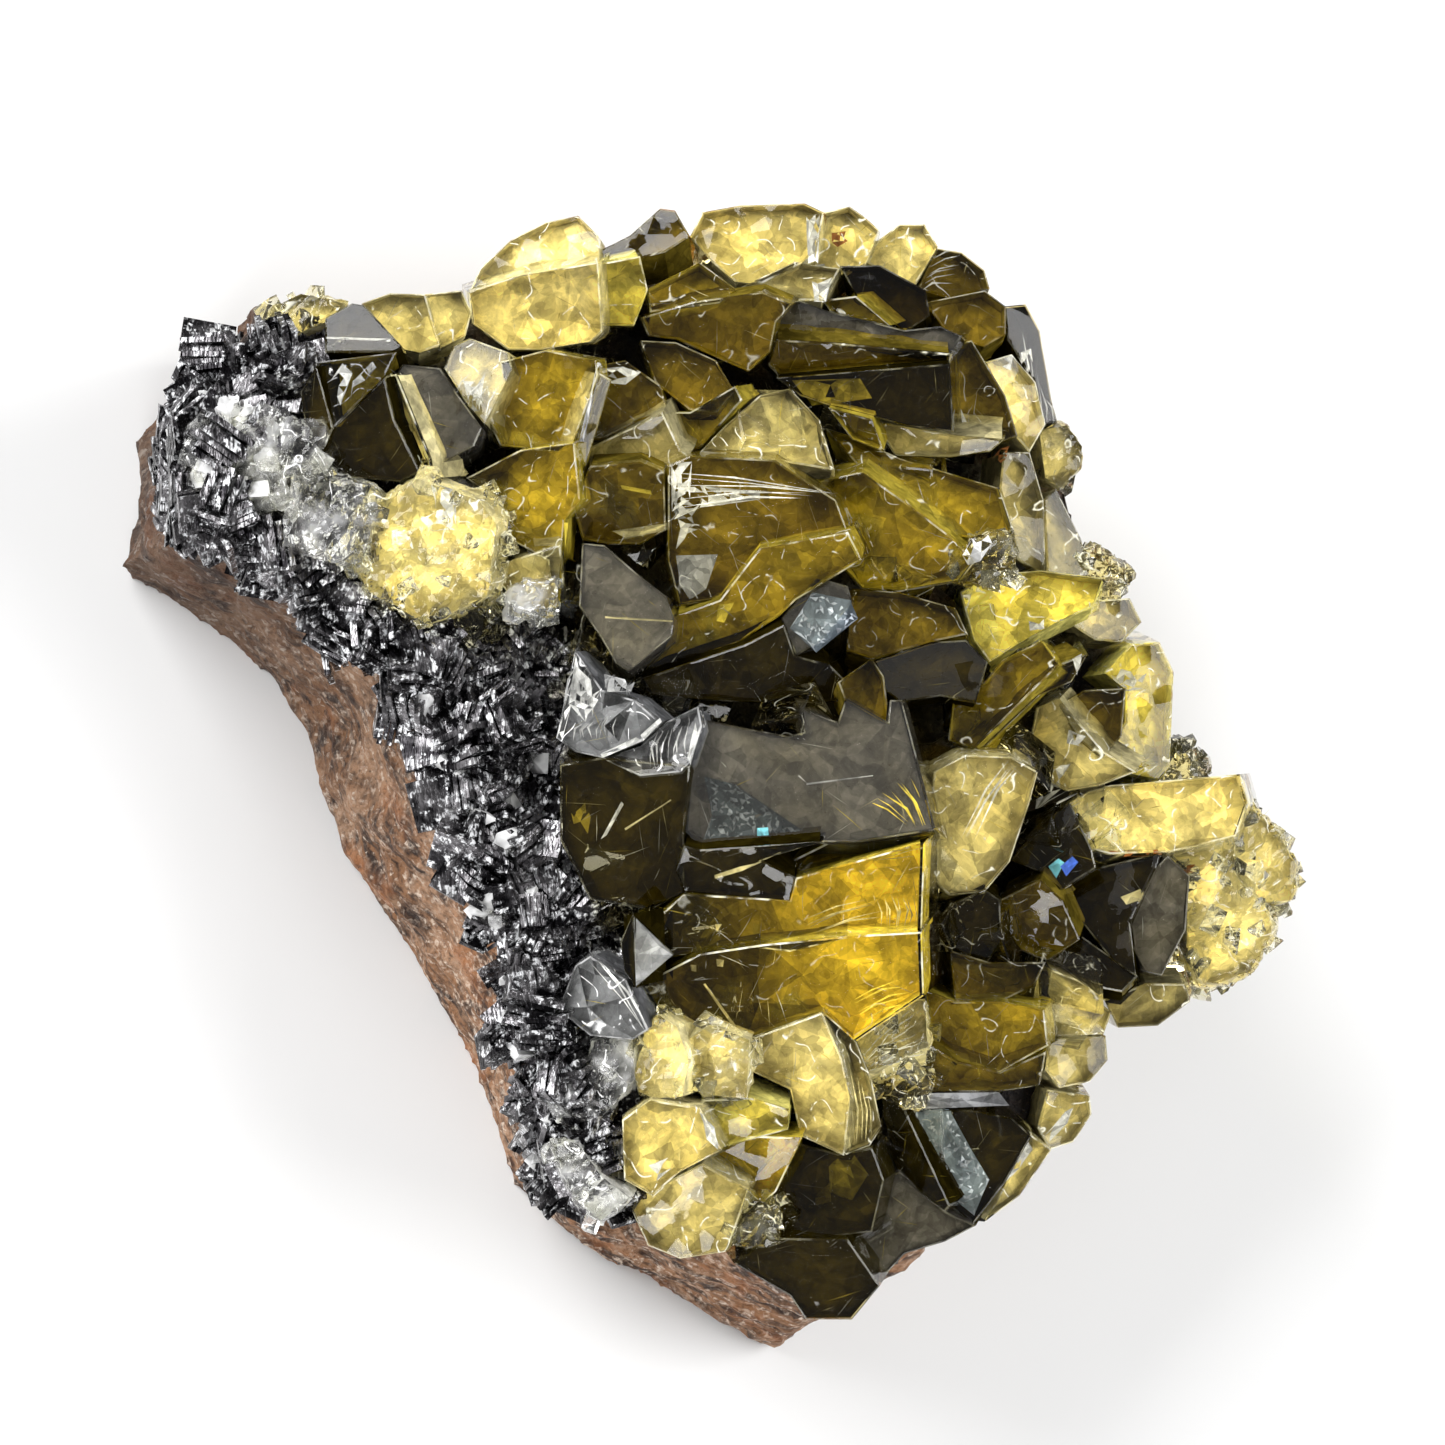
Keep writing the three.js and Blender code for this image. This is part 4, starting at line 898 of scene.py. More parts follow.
def scatter_tree(name, mark, upright):
    """Copies of a collection's objects where a surface's mark is above nothing, turned and sized at random."""
    growth = Growth(name, {
        "Kinds": "NodeSocketCollection", "Copies per area": "NodeSocketFloat", "Smallest": "NodeSocketFloat",
        "Largest": "NodeSocketFloat", "Lean": "NodeSocketFloat", "Seed": "NodeSocketInt",
        "Material": "NodeSocketMaterial",
    })
    start = growth.start.outputs
    room = growth.node("GeometryNodeInputNamedAttribute", {"data_type": "FLOAT"}, {"Name": mark})
    product = {"operation": "MULTIPLY"}
    density = growth.node("ShaderNodeMath", product, {0: room.outputs[0], 1: start["Copies per area"]})
    points = growth.node("GeometryNodeDistributePointsOnFaces", values={
        "Mesh": start["Geometry"], "Density": density.outputs[0], "Seed": start["Seed"]})
    kinds = growth.node("GeometryNodeCollectionInfo", values={
        "Collection": start["Kinds"], "Separate Children": True, "Reset Children": True})
    low = growth.node("ShaderNodeMath", product, {0: start["Lean"], 1: -1.0})
    least = growth.node("ShaderNodeCombineXYZ", values={0: low.outputs[0], 1: low.outputs[0], 2: 0.0})
    most = growth.node("ShaderNodeCombineXYZ", values={0: start["Lean"], 1: start["Lean"], 2: math.tau})
    spin = growth.node("FunctionNodeRandomValue", {"data_type": "FLOAT_VECTOR"},
                       {"Min": least.outputs[0], "Max": most.outputs[0], "Seed": start["Seed"]})
    turned = spin.outputs[0]
    if not upright:
        turned = growth.node("FunctionNodeRotateRotation", {"rotation_space": "LOCAL"},
                             {"Rotation": points.outputs["Rotation"], "Rotate By": spin.outputs[0]}).outputs[0]
    size = growth.node("FunctionNodeRandomValue", {"data_type": "FLOAT"},
                       {2: start["Smallest"], 3: start["Largest"], "Seed": start["Seed"]})
    copies = growth.node("GeometryNodeInstanceOnPoints", values={
        "Points": points.outputs["Points"], "Instance": kinds.outputs[0], "Pick Instance": True,
        "Rotation": turned, "Scale": size.outputs[1]})
    return growth, copies.outputs[0]


def copies_tree(name, mark, upright):
    """The scattered copies alone, without the surface that they stand on."""
    growth, copies = scatter_tree(name, mark, upright)
    growth.close(copies, "Material")
    return growth


def shard_tree():
    """Shards standing on a surface, with that surface."""
    growth, copies = scatter_tree("shards", "room", False)
    both = growth.node("GeometryNodeJoinGeometry")
    growth.link(growth.start.outputs["Geometry"], both.inputs[0])
    growth.link(copies, both.inputs[0])
    growth.close(both.outputs[0], "Material")
    return growth


def collection_of(name, shapes):
    """A collection of objects for shapes in millimetres, outside the scene."""
    group = bpy.data.collections.new(name)
    for i, shape in enumerate(shapes):
        bmesh.ops.triangulate(shape, faces=shape.faces[:])
        group.objects.link(bpy.data.objects.new(f"{name}_{i}", mesh_of(shape, f"{name}_{i}")))
    return group


# What is scattered: copies per square millimetre, the smallest and the largest in millimetres, and how many radians
# they lean at most.
SCATTER = {
    "grains": (0.8, 0.8, 2.3, 3.1),
    "small_crystals": (0.045, 1.8, 3.0, 0.5),
    "crumbs": (0.18, 0.9, 2.0, 3.1),
    "sheaves": (0.42, 1.2, 3.4, 0.8),
}


def scatter_values(what, seed, paint):
    labels = ("Copies per area", "Smallest", "Largest", "Lean")
    return {**dict(zip(labels, SCATTER[what])), "Seed": seed, "Material": paint}


def clear_away(group):
    """Removes a collection and its objects."""
    for thing in list(group.objects):
        bpy.data.objects.remove(thing)
    bpy.data.collections.remove(group)


def cad_copy(name, piece):
    """A merged copy of a solid's mesh, in millimetres."""
    shape = bmesh.new()
    shape.from_mesh(frame["nodes"][name].data)
    bmesh.ops.remove_doubles(shape, verts=shape.verts[:], dist=1e-6)
    shape.transform(Matrix.Translation(-CENTRE_SHIFT) @ Matrix.Diagonal((1 / MM, 1 / MM, 1 / MM, 1)))
    return mesh_of(shape, piece)


def remeshed(mesh, voxel):
    """A closed mesh made again from even small faces."""
    thing = add_object("rough_form", mesh)
    modifier = thing.modifiers.new("even", "REMESH")
    modifier.mode = "VOXEL"
    modifier.voxel_size = voxel
    even = evaluated_mesh(thing)
    bpy.data.objects.remove(thing)
    return even


def keep_inside(mesh):
    """Pulls what stands out of the solids' box back to it. The mesh is in millimetres."""
    low, high = (Vector(corner) / MM - CENTRE_SHIFT for corner in cad_box)
    for vert in mesh.vertices:
        vert.co = Vector(max(a, min(b, c)) for a, b, c in zip(low, high, vert.co))


def face_mark(mesh, name, values):
    """Gives each face of a mesh its value of a mark."""
    mark = mesh.attributes.get(name) or mesh.attributes.new(name, "FLOAT", "FACE")
    mark.data.foreach_set("value", values)


# The crystals.

def bit_shapes():
    """Broken bits: cubes with cut corners, of different lengths."""
    draw = random.Random(11)
    for _ in range(6):
        shape = cube_shape()
        shape.transform(Matrix.Diagonal((1, draw.uniform(0.5, 1), draw.uniform(0.4, 1), 1)))
        for _ in range(3):
            cut = Vector([draw.choice((-1, 1)) for _ in range(3)]).normalized()
            left = bmesh.ops.bisect_plane(shape, geom=shape.verts[:] + shape.edges[:] + shape.faces[:],
                                          plane_co=cut * draw.uniform(0.25, 0.4), plane_no=cut, clear_outer=True)
            rim = [item for item in left["geom_cut"] if isinstance(item, bmesh.types.BMEdge)]
            bmesh.ops.edgeloop_fill(shape, edges=rim)
        outward(shape)
        yield shape


WHITE_LUMPS_END = 600  # in the picture's x


def crystal_sources():
    """The crystals one by one: name and shape."""
    sources = [(name, crystal_shape(name, i)) for i, name in enumerate(FACES)]
    sources += [("white_lump" if row[0] < WHITE_LUMPS_END else "crumbly_lump", lump_shape(i, row))
                for i, row in enumerate(LUMPS)]
    sources += [("olive_corner", corner_shape(row)) for row in CORNERS]
    return sources


# How white broken edges are; the share that follows the glow is painted light.
EDGE_LIGHT = 0.25  # how white the broken edges of a dark crystal are
EDGE_GLOW = 0.4  # and how much more with its glow


def edge_mark(mesh, polygon, name):
    """How white a face is as a broken edge. Only the narrow faces along a smooth crystal's top are edges."""
    kind = kind_of(name)
    if name not in FACES or kind["crumble"]:
        return 0.0
    corners = [mesh.vertices[i].co for i in polygon.vertices]
    shortest = min((a - b).length for a, b in zip(corners, corners[1:] + corners[:1]))
    return EDGE_LIGHT + kind["glow"] * EDGE_GLOW if shortest < 2 * EDGE_WIDTH else 0.0


def mark_kinds(mesh, names):
    """Gives each face the marks of its crystal's kind."""
    for mark in ("haze", "broken", "crumble"):
        face_mark(mesh, mark, [kind_of(name)[mark] for name in names])
    face_mark(mesh, "edge", [edge_mark(mesh, polygon, name) for name, polygon in zip(names, mesh.polygons)])


def cube_shapes():
    """Small cubes with broken edges, some longer, and some of them on their corner."""
    draw = random.Random(31)
    for _ in range(5):
        shape = cube_shape()
        stretch = Matrix.Diagonal((1, draw.uniform(0.7, 1.1), draw.uniform(0.9, 1.5), 1))
        lean = Matrix.Rotation(draw.uniform(0, 0.6), 4, "X") if draw.random() < 0.6 else CORNER_UP
        shape.transform(lean @ stretch)
        cut_edges(shape, 0.03)
        yield shape


# Where white grains sit on the crust: place in the picture and reach.
GRAIN_ZONES = [[250, 462, 80], [320, 500, 50], [572, 786, 42], [590, 680, 40], [566, 1160, 70], [500, 610, 40],
               [180, 450, 40], [640, 760, 30], [595, 1060, 50]]


def crust_grains(paint):
    """White grains on the crust, in some places."""
    mesh = cad_copy("dark_crust", "crust_top")
    zones = []
    for face in mesh.polygons:
        x, y = picture_place(face.center)
        near = max(1 - math.hypot(x - a, y - b) / reach for a, b, reach in GRAIN_ZONES)
        zones.append(max(0.25, min(1.0, 2.5 * near)) if face.normal.dot(SIGHT) > 0.1 else 0.0)
    face_mark(mesh, "room", zones)
    return scattered(mesh, copies_tree("grains", "room", False), bit_shapes(), scatter_values("grains", 12, paint))


def grown(mesh, tree, shapes, values):
    """What a tree makes of a mesh, with the shapes that it scatters."""
    kinds = collection_of("kinds", shapes)
    body = add_object("body", mesh)
    made = tree.run(body, {"Kinds": kinds, **values})
    clear_away(kinds)
    bpy.data.objects.remove(body)
    return made


def scattered(mesh, tree, shapes, values):
    """The copies that a tree scatters on a mesh, as a shape without the mesh's marks."""
    made = grown(mesh, tree, shapes, values)
    for mark in [mark.name for mark in made.attributes if mark.data_type == "FLOAT" or mark.name == "id"]:
        made.attributes.remove(made.attributes[mark])
    return shape_of(made)


SMALL_CRYSTAL_SINK = 2.0  # how far the small crystals' feet lie under the layer's surface


def small_crystals(paint):
    """Small crystals that fill the layer between the large ones."""
    mesh = mesh_of(bed_shape(), "bed")
    mesh.transform(Matrix.Translation((0, 0, -SMALL_CRYSTAL_SINK)))
    face_mark(mesh, "room", [1.0 if face.normal.z > 0.2 else 0.0 for face in mesh.polygons])
    tree = copies_tree("small_crystals", "room", True)
    return scattered(mesh, tree, cube_shapes(), scatter_values("small_crystals", 6, paint))


def crumbs_on(whole, names, paint, seed):
    """Broken bits on the crumbly faces of a shape."""
    surface = bpy.data.meshes.new("surface")
    whole.to_mesh(surface)
    face_mark(surface, "crumble", [kind_of(name)["crumble"] for name in names])
    tree = copies_tree("crumbs", "crumble", False)
    return scattered(surface, tree, bit_shapes(), scatter_values("crumbs", seed, paint))


def join_crystals(piece, sources, paint, seed):
    """One piece of some crystals, with bits on the crumbly ones."""
    whole = bmesh.new()
    names = []
    for name, shape in sources:
        names += [name] * add_shape(whole, shape, name)
    names += ["crumb"] * add_shape(whole, crumbs_on(whole, names, paint, seed), "crumb")
    mesh = mesh_of(whole, piece)
    mesh.materials.append(paint)
    mark_kinds(mesh, names)
    keep_inside(mesh)
    return place_mesh(piece, mesh)


def make_crystals():
    """The yellow crystals, and those without colour."""
    yellow = fluorite_paint("fluorite", YELLOW_DENSITY, *YELLOW_MILK)
    plain = fluorite_paint("colourless_fluorite", CLEAR_DENSITY, *CLEAR_MILK)
    sources = crystal_sources()
    white = [source for source in sources if source[0] in COLOURLESS]
    rest = [source for source in sources if source[0] not in COLOURLESS]
    druse = join_crystals("fluorite_druse", rest + [("small_crystal", small_crystals(yellow))], yellow, 3)
    return druse, join_crystals("colourless_crystals", white + [("grain", crust_grains(plain))], plain, 8)


# Cracks and sheets of painted light inside the crystals.

# Colours of the painted light inside the crystals.
TINTS = {
    "straw": (0.95, 0.84, 0.44),
    "lemon": (0.95, 0.86, 0.24),
    "slate": (0.34, 0.41, 0.48),
    "amber": (0.93, 0.69, 0.09),
    "taupe": (0.70, 0.65, 0.60),
    "gold": (0.93, 0.73, 0.09),
    "white": (0.95, 0.95, 0.93),
    "rust": (0.50, 0.19, 0.05),
    "cyan": (0.25, 0.75, 0.95),
    "blue": (0.10, 0.22, 0.95),
    "violet": (0.45, 0.16, 0.75),
    "steel": (0.62, 0.68, 0.76),
    "silver": (0.66, 0.67, 0.70),
}
# Where a face's painted glow starts and is whole, in the picture's x, so that painted light grows across it.
PAINTED_GLOW_START = {"window_upper": (690, 880), "window_lower": (745, 890), "window_lintel": (800, 890),
              "gold_face_lower": (480, 530)}
# Single cracks: the face that they lie under, corners in the picture, depth under the face, brightness and tint.
# White, silver, slate and steel cracks are painted glints and sheen, straw and gold ones painted inner light.
FLAWS = [
    ["feather_face", [[671, 464], [692, 462], [690, 500], [672, 512]], 0.4, 0.9, "white"],
    ["feather_face", [[672, 488], [700, 486], [760, 492], [760, 500], [700, 508], [674, 520]], 0.5, 0.9, "white"],
    ["feather_face", [[672, 508], [700, 505], [698, 530], [676, 550]], 0.6, 0.6, "white"],
    ["feather_face", [[676, 556], [718, 555], [706, 590], [690, 600], [680, 585]], 0.5, 0.45, "silver"],
    ["gold_face_upper", [[597, 362], [601, 364], [583, 442], [579, 441]], 0.15, 0.95, "white"],
    ["gold_face_lower", [[563, 523], [567, 523], [559, 604], [556, 604]], 0.3, 0.6, "gold"],
    ["smoky_pane", [[602, 368], [622, 366], [640, 372], [625, 384], [606, 382]], 0.3, 0.9, "white"],
    ["pale_chip", [[462, 380], [484, 372], [478, 410], [470, 408]], 0.4, 0.7, "white"],
    ["crumbly_head", [[430, 482], [452, 490], [458, 530], [424, 532], [420, 520], [436, 512]], 0.3, 1.0, "white"],
    ["dark_trapezoid", [[326, 336], [390, 338], [390, 341], [326, 338]], 0.2, 0.6, "white"],
    ["lower_triangle", [[330, 380], [342, 362], [352, 372], [340, 404]], 0.4, 0.6, "white"],
    ["lower_triangle", [[352, 380], [372, 360], [376, 366], [350, 400]], 0.5, 0.4, "white"],
    ["light_pane", [[812, 592], [850, 600], [858, 618], [816, 652], [790, 628]], 0.3, 0.55, "slate"],
    ["light_pane", [[812, 592], [850, 600], [858, 618], [816, 652], [790, 628]], 0.2, 0.8, "steel"],
    ["grey_hexagon", [[605, 616], [672, 620], [672, 622], [605, 618]], 0.2, 0.5, "straw"],
    ["feather_foot", [[718, 606], [734, 604], [724, 624], [716, 622]], 0.6, 0.9, "gold"],
    ["dark_shelf", [[612, 532], [668, 524], [668, 531], [614, 542]], 0.4, 0.6, "straw"],
    ["dark_shelf", [[620, 486], [650, 492], [652, 496], [622, 490]], 0.5, 0.7, "gold"],
    ["bright_block", [[806, 215], [820, 212], [818, 262], [808, 262]], 0.4, 1.0, "white"],
    ["rusty_block", [[808, 264], [826, 262], [822, 284]], 0.4, 0.95, "white"],
    ["rusty_block", [[832, 232], [846, 230], [848, 240], [838, 246], [832, 242]], 0.2, 0.8, "rust"],
    ["clear_gable", [[812, 280], [832, 276], [826, 300], [814, 300]], 0.3, 0.95, "white"],
    ["lined_edge", [[1022, 352], [1032, 348], [1034, 362], [1024, 364]], 0.3, 0.95, "white"],
    ["pale_shoulder", [[998, 358], [1014, 354], [1012, 370], [1000, 372]], 0.3, 0.95, "white"],
    ["tall_side", [[962, 408], [970, 405], [970, 432], [964, 430]], 0.4, 0.9, "white"],
    ["pale_band", [[990, 462], [1000, 450], [1019, 443], [1014, 452], [1001, 464]], 0.2, 0.9, "rust"],
    ["olive_right", [[962, 556], [972, 540], [988, 536], [992, 545], [980, 562], [968, 566]], 0.3, 1.0, "white"],
    ["bright_blade", [[1029, 620], [1044, 618], [1044, 628], [1030, 630]], 0.3, 1.0, "white"],
    ["dark_block_face", [[792, 382], [860, 380], [872, 400], [812, 408]], 0.9, 0.3, "gold"],
    ["black_interior", [[566, 800], [580, 795], [590, 812], [586, 836], [572, 826]], 1.2, 0.22, "gold"],
    ["black_interior", [[600, 840], [621, 802], [623, 805], [606, 836]], 0.4, 0.8, "white"],
    ["black_interior", [[624, 829], [670, 800], [671, 801], [625, 831]], 0.4, 0.5, "straw"],
    ["great_grey_face", [[704, 776], [735, 784], [820, 842], [700, 848], [712, 815]], 0.5, 0.16, "slate"],
    ["great_grey_face", [[704, 776], [735, 784], [820, 842], [700, 848], [712, 815]], 0.4, 0.3, "steel"],
    ["speckled_triangle", [[910, 1094], [1000, 1093], [1010, 1106], [909, 1110]], 0.3, 0.6, "silver"],
    ["great_grey_face", [[757, 828], [768, 827], [769, 840], [757, 842]], 0.25, 1.0, "cyan"],
    ["great_grey_face", [[799, 775], [807, 783], [873, 775], [873, 776], [806, 785], [798, 776]], 0.1, 0.6, "white"],

    ["under_ledge", [[714, 877], [740, 868], [780, 853], [781, 855], [742, 872], [715, 880]], 0.4, 0.7, "straw"],
    ["window_upper", [[715, 926], [722, 926], [723, 932], [717, 934]], 1.2, 0.9, "straw"],
    ["window_lower", [[690, 968], [696, 968], [696, 975], [691, 974]], 1.2, 0.9, "straw"],
    ["window_lower", [[716, 962], [724, 963], [723, 970], [717, 969]], 1.2, 0.9, "straw"],
    ["window_lower", [[703, 987], [705, 986], [738, 1031], [735, 1032]], 1.0, 0.9, "straw"],
    ["ribbed_shell", [[575, 655], [590, 680], [598, 700], [585, 722], [568, 704]], 0.2, 0.9, "white"],
    ["ribbed_shell", [[603, 674], [634, 682], [630, 692], [606, 692]], 0.2, 0.9, "white"],
    ["ribbed_shell", [[600, 754], [640, 735], [659, 718], [661, 722], [642, 741], [602, 758]], 0.2, 1.0, "white"],
    ["ribbed_shell", [[556, 738], [570, 690], [575, 690], [562, 740]], 0.2, 0.9, "white"],
    ["clear_splinter", [[697, 710], [702, 720], [690, 765], [685, 764], [695, 722]], 0.15, 1.0, "white"],
    ["orange_block", [[1124, 668], [1150, 672], [1146, 688], [1126, 692], [1118, 680]], 0.8, 0.8, "white"],
    ["shattered_face", [[1038, 770], [1070, 765], [1060, 790], [1034, 812]], 0.4, 0.9, "white"],
    ["shattered_face", [[1068, 730], [1092, 732], [1084, 748], [1066, 744]], 0.4, 0.8, "white"],
    ["prism_lower", [[1074, 660], [1084, 655], [1078, 676]], 0.3, 0.9, "white"],
    ["rainbow_face", [[1048, 866], [1058, 858], [1064, 862], [1056, 878]], 0.3, 1.4, "cyan"],
    ["rainbow_face", [[1060, 866], [1072, 856], [1078, 862], [1066, 876]], 0.3, 1.3, "blue"],
    ["rainbow_face", [[1070, 868], [1082, 858], [1080, 872]], 0.3, 1.2, "violet"],
    ["long_block", [[1108, 850], [1158, 849], [1161, 855], [1120, 857]], 0.2, 1.0, "rust"],
    ["crumbly_foot", [[1186, 866], [1196, 864], [1194, 872], [1187, 873]], 0.1, 1.0, "rust"],
    ["light_triangle", [[634, 916], [673, 955], [636, 986]], 0.15, 0.5, "silver"],
    ["dark_pocket", [[1120, 896], [1140, 888], [1142, 898], [1126, 904]], 0.6, 0.8, "straw"],
    ["yellow_heart", [[648, 1166], [668, 1158], [672, 1168], [656, 1182]], 0.3, 1.0, "white"],
    ["yellow_heart", [[699, 1112], [714, 1128], [718, 1150], [706, 1140]], 0.3, 1.0, "white"],
    ["dark_glow", [[826, 1160], [850, 1154], [866, 1176], [850, 1202], [828, 1194]], 1.1, 0.13, "gold"],
    ["dark_glow", [[838, 1170], [848, 1168], [852, 1180], [842, 1188]], 0.9, 0.4, "gold"],
    ["speckled_triangle", [[908, 1112], [950, 1110], [972, 1150], [990, 1180], [975, 1216], [950, 1196]], 0.4, 0.85,
     "slate"],
    ["speckled_triangle", [[908, 1112], [950, 1110], [972, 1150], [990, 1180], [975, 1216], [950, 1196]], 0.2, 0.9,
     "steel"],
    ["white_sliver", [[1012, 1142], [1026, 1138], [1034, 1150], [1020, 1168], [1002, 1188]], 0.2, 1.0, "white"],
    ["tail_piece", [[1044, 1138], [1066, 1112], [1074, 1108], [1068, 1124], [1050, 1142]], 0.3, 1.0, "white"],
]
# Cracks side by side: the face, the ends of the first and of the last, how many, depth, brightness and tint.
# Their brightness is painted light: glints on the white ones, inner light on the straw and gold ones.
RIBS = [
    ["great_grey_face", [[868, 800], [906, 824]], [[908, 775], [929, 828]], 7, 0.6, 1.0, "gold"],
    ["window_upper", [[876, 898], [880, 930]], [[916, 898], [914, 930]], 8, 1.0, 1.1, "straw"],
    ["window_upper", [[800, 925], [870, 898]], [[815, 936], [884, 918]], 5, 0.8, 1.0, "straw"],
    ["window_lower", [[850, 1004], [905, 980]], [[860, 1030], [915, 1012]], 6, 0.8, 1.1, "gold"],
    ["ribbed_shell", [[562, 704], [578, 660]], [[594, 716], [602, 690]], 9, 0.2, 0.6, "white"],
    ["ribbed_shell", [[604, 690], [612, 676]], [[628, 695], [634, 684]], 7, 0.2, 0.6, "white"],
    ["ribbed_shell", [[574, 742], [580, 722]], [[612, 738], [616, 716]], 8, 0.2, 0.4, "white"],
    ["clear_splinter", [[650, 766], [654, 735]], [[683, 762], [690, 722]], 8, 0.2, 0.5, "white"],
    ["lined_edge", [[1022, 330], [1030, 420]], [[1048, 400], [1054, 426]], 5, 0.3, 0.6, "white"],
    ["lined_pane", [[930, 262], [962, 250]], [[926, 286], [956, 282]], 6, 0.3, 0.6, "white"],
    ["pale_lump_side", [[832, 1034], [846, 1150]], [[868, 1090], [872, 1140]], 7, 0.4, 1.0, "straw"],
    ["bright_splinters", [[858, 1062], [920, 1000]], [[870, 1068], [928, 1052]], 7, 0.3, 1.0, "white"],
    ["pale_chip", [[456, 396], [470, 372]], [[482, 420], [500, 386]], 4, 0.3, 0.6, "white"],
    ["shattered_face", [[1030, 816], [1070, 790]], [[1050, 822], [1086, 802]], 5, 0.3, 0.9, "white"],
    ["pale_cube", [[960, 840], [1012, 758]], [[972, 842], [1018, 764]], 4, 0.4, 0.8, "white"],
    ["white_edged", [[588, 958], [640, 1030]], [[600, 962], [646, 1030]], 3, 0.15, 1.0, "white"],
    ["feather_face", [[672, 470], [838, 492]], [[674, 510], [800, 497]], 6, 0.3, 0.9, "white"],
]
# How large a single crack's facets are and how much of them is left, by its tint.
FLAW_GRAIN = {
    "steel": (0.26, 0.22), "slate": (1.2, 1.0), "white": (0.5, 0.7), "rust": (0.3, 0.5), "silver": (1.4, 1.0),
}
OTHER_FLAW_GRAIN = (0.7, 0.9)
FACET_LIGHT = (0.75, 1.15)  # how unevenly bright facets are
SHEET_SHARE = 0.97  # of a face's outline
# Painted glints: narrow bright facets under the faces, in these tints.
PAINTED_GLINT_SHARE = 0.28  # of the places that could have a splinter
PAINTED_GLINT_TINTS = ("white", "straw", "gold")
SKIRT_START = 0.25
SKIRT_DEPTH = 4.0
SKIRT_LIGHT = 0.75
FLAW_CRUMPLE = 0.12
FLAW_LIGHT = (0.45, 1.0)
RIB_JITTER = 3  # pixels


def facet_sheet(places, normal, facet, crumple, draw):
    """A crumpled sheet between some corners: its corners and its uneven triangles."""
    middle = middle_of(places)
    across = (places[0] - middle).normalized()
    along = normal.cross(across)
    rim = [Vector(((p - middle).dot(across), (p - middle).dot(along))) for p in places]
    low = [min(p[i] for p in rim) for i in range(2)]
    high = [max(p[i] for p in rim) for i in range(2)]
    spots = list(rim)
    for _ in range(int(3 * (high[0] - low[0]) * (high[1] - low[1]) / facet ** 2)):
        spot = Vector((draw.uniform(low[0], high[0]), draw.uniform(low[1], high[1])))
        if min((spot - other).length for other in spots) > 0.7 * facet:
            spots.append(spot)
    spots, _, faces, *_ = geometry.delaunay_2d_cdt(spots, [], [list(range(len(rim)))], 1, 1e-5)
    points = [middle + across * p.x + along * p.y + normal * draw.uniform(-crumple, crumple) for p in spots]
    return points, faces


class Cracks:
    """Loose facets inside the crystals, with their colours of painted light."""

    def __init__(self, seed):
        self.shape = bmesh.new()
        self.tints = []
        self.draw = random.Random(seed)

    def add(self, corners, tint, glow):
        self.shape.faces.new([self.shape.verts.new(p) for p in corners])
        self.tints.append([share * glow for share in TINTS[tint]])

    def add_sheet(self, places, normal, depth, facet, crumple, tint, glow, cover=1.0):
        points, faces = facet_sheet([p - normal * depth for p in places], normal, facet, crumple, self.draw)
        for face in faces:
            if self.draw.random() < cover:
                corners = [points[i] for i in face]
                self.add(corners, tint, glow(middle_of(corners)) * self.draw.uniform(*FACET_LIGHT))

    def add_skirt(self, places, normal, tint, glow):
        """Sheets of painted glow along the inside of a crystal's walls, so that it looks the same from the side."""
        for a, b in zip(places, places[1:] + places[:1]):
            a, b = a - normal * SKIRT_START, b - normal * SKIRT_START
            fall = normal * SKIRT_DEPTH
            for corners in ((a, b, b - fall), (a, b - fall, a - fall)):
                self.add(corners, tint, SKIRT_LIGHT * glow(middle_of(corners)) * self.draw.uniform(*FACET_LIGHT))

    def add_painted_glint(self, place, normal, tint, glow):
        """A narrow facet bright with a painted glint, turned at random."""
        side = normal.orthogonal()
        side.rotate(Quaternion(normal, self.draw.uniform(0, math.tau)))
        side = (side + normal * self.draw.uniform(-0.3, 0.3)) * self.draw.uniform(0.4, 2.4)
        wide = normal.cross(side).normalized() * self.draw.uniform(0.015, 0.055)
        self.add([place - side / 2, place + side / 2, place + wide], tint, glow)

    def mesh(self, name):
        """All the facets as a mesh. This ends the shape."""
        mesh = mesh_of(self.shape, name)
        layer = mesh.color_attributes.new("tint", "FLOAT_COLOR", "CORNER")
        for polygon, tint in zip(mesh.polygons, self.tints):
            for loop in polygon.loop_indices:
                layer.data[loop].color = (*tint, 1)
        return mesh


def painted_glow_face(cracks, name):
    """The sheets of painted glow and the painted glints under one crystal's face."""
    draw = cracks.draw
    kind = kind_of(name)
    places, middle, normal = face_plane(*FACES[name])
    start, full = PAINTED_GLOW_START.get(name, (0, 1))
    strength = draw.uniform(0.8, 1.15)

    def glow(point):
        share = (picture_place(point)[0] - start) / (full - start)
        return kind["glow"] * strength * max(0.08, min(1, share))

    inner = [middle.lerp(p, SHEET_SHARE) for p in places]
    if kind["cover"]:
        depth, tint = kind["depth"], kind["tint"]
        cracks.add_sheet(inner, normal, depth, 1.7, 0.25, tint, glow, kind["cover"])
        cracks.add_sheet(inner, normal, depth * 1.8, 3.4, 0.6, tint, lambda point: 0.7 * glow(point))
        cracks.add_skirt(inner, normal, tint, glow)
    points, faces = facet_sheet(inner, normal, 1.6, 0, draw)
    for face in faces:
        if draw.random() < PAINTED_GLINT_SHARE:
            depth = draw.uniform(0.3, 0.9 * kind["depth"])
            place = middle_of([points[i] for i in face]) - normal * depth
            cracks.add_painted_glint(place, normal, draw.choice(PAINTED_GLINT_TINTS),
                                draw.uniform(0.25, 0.9) * min(1, 0.35 + kind["glow"]))


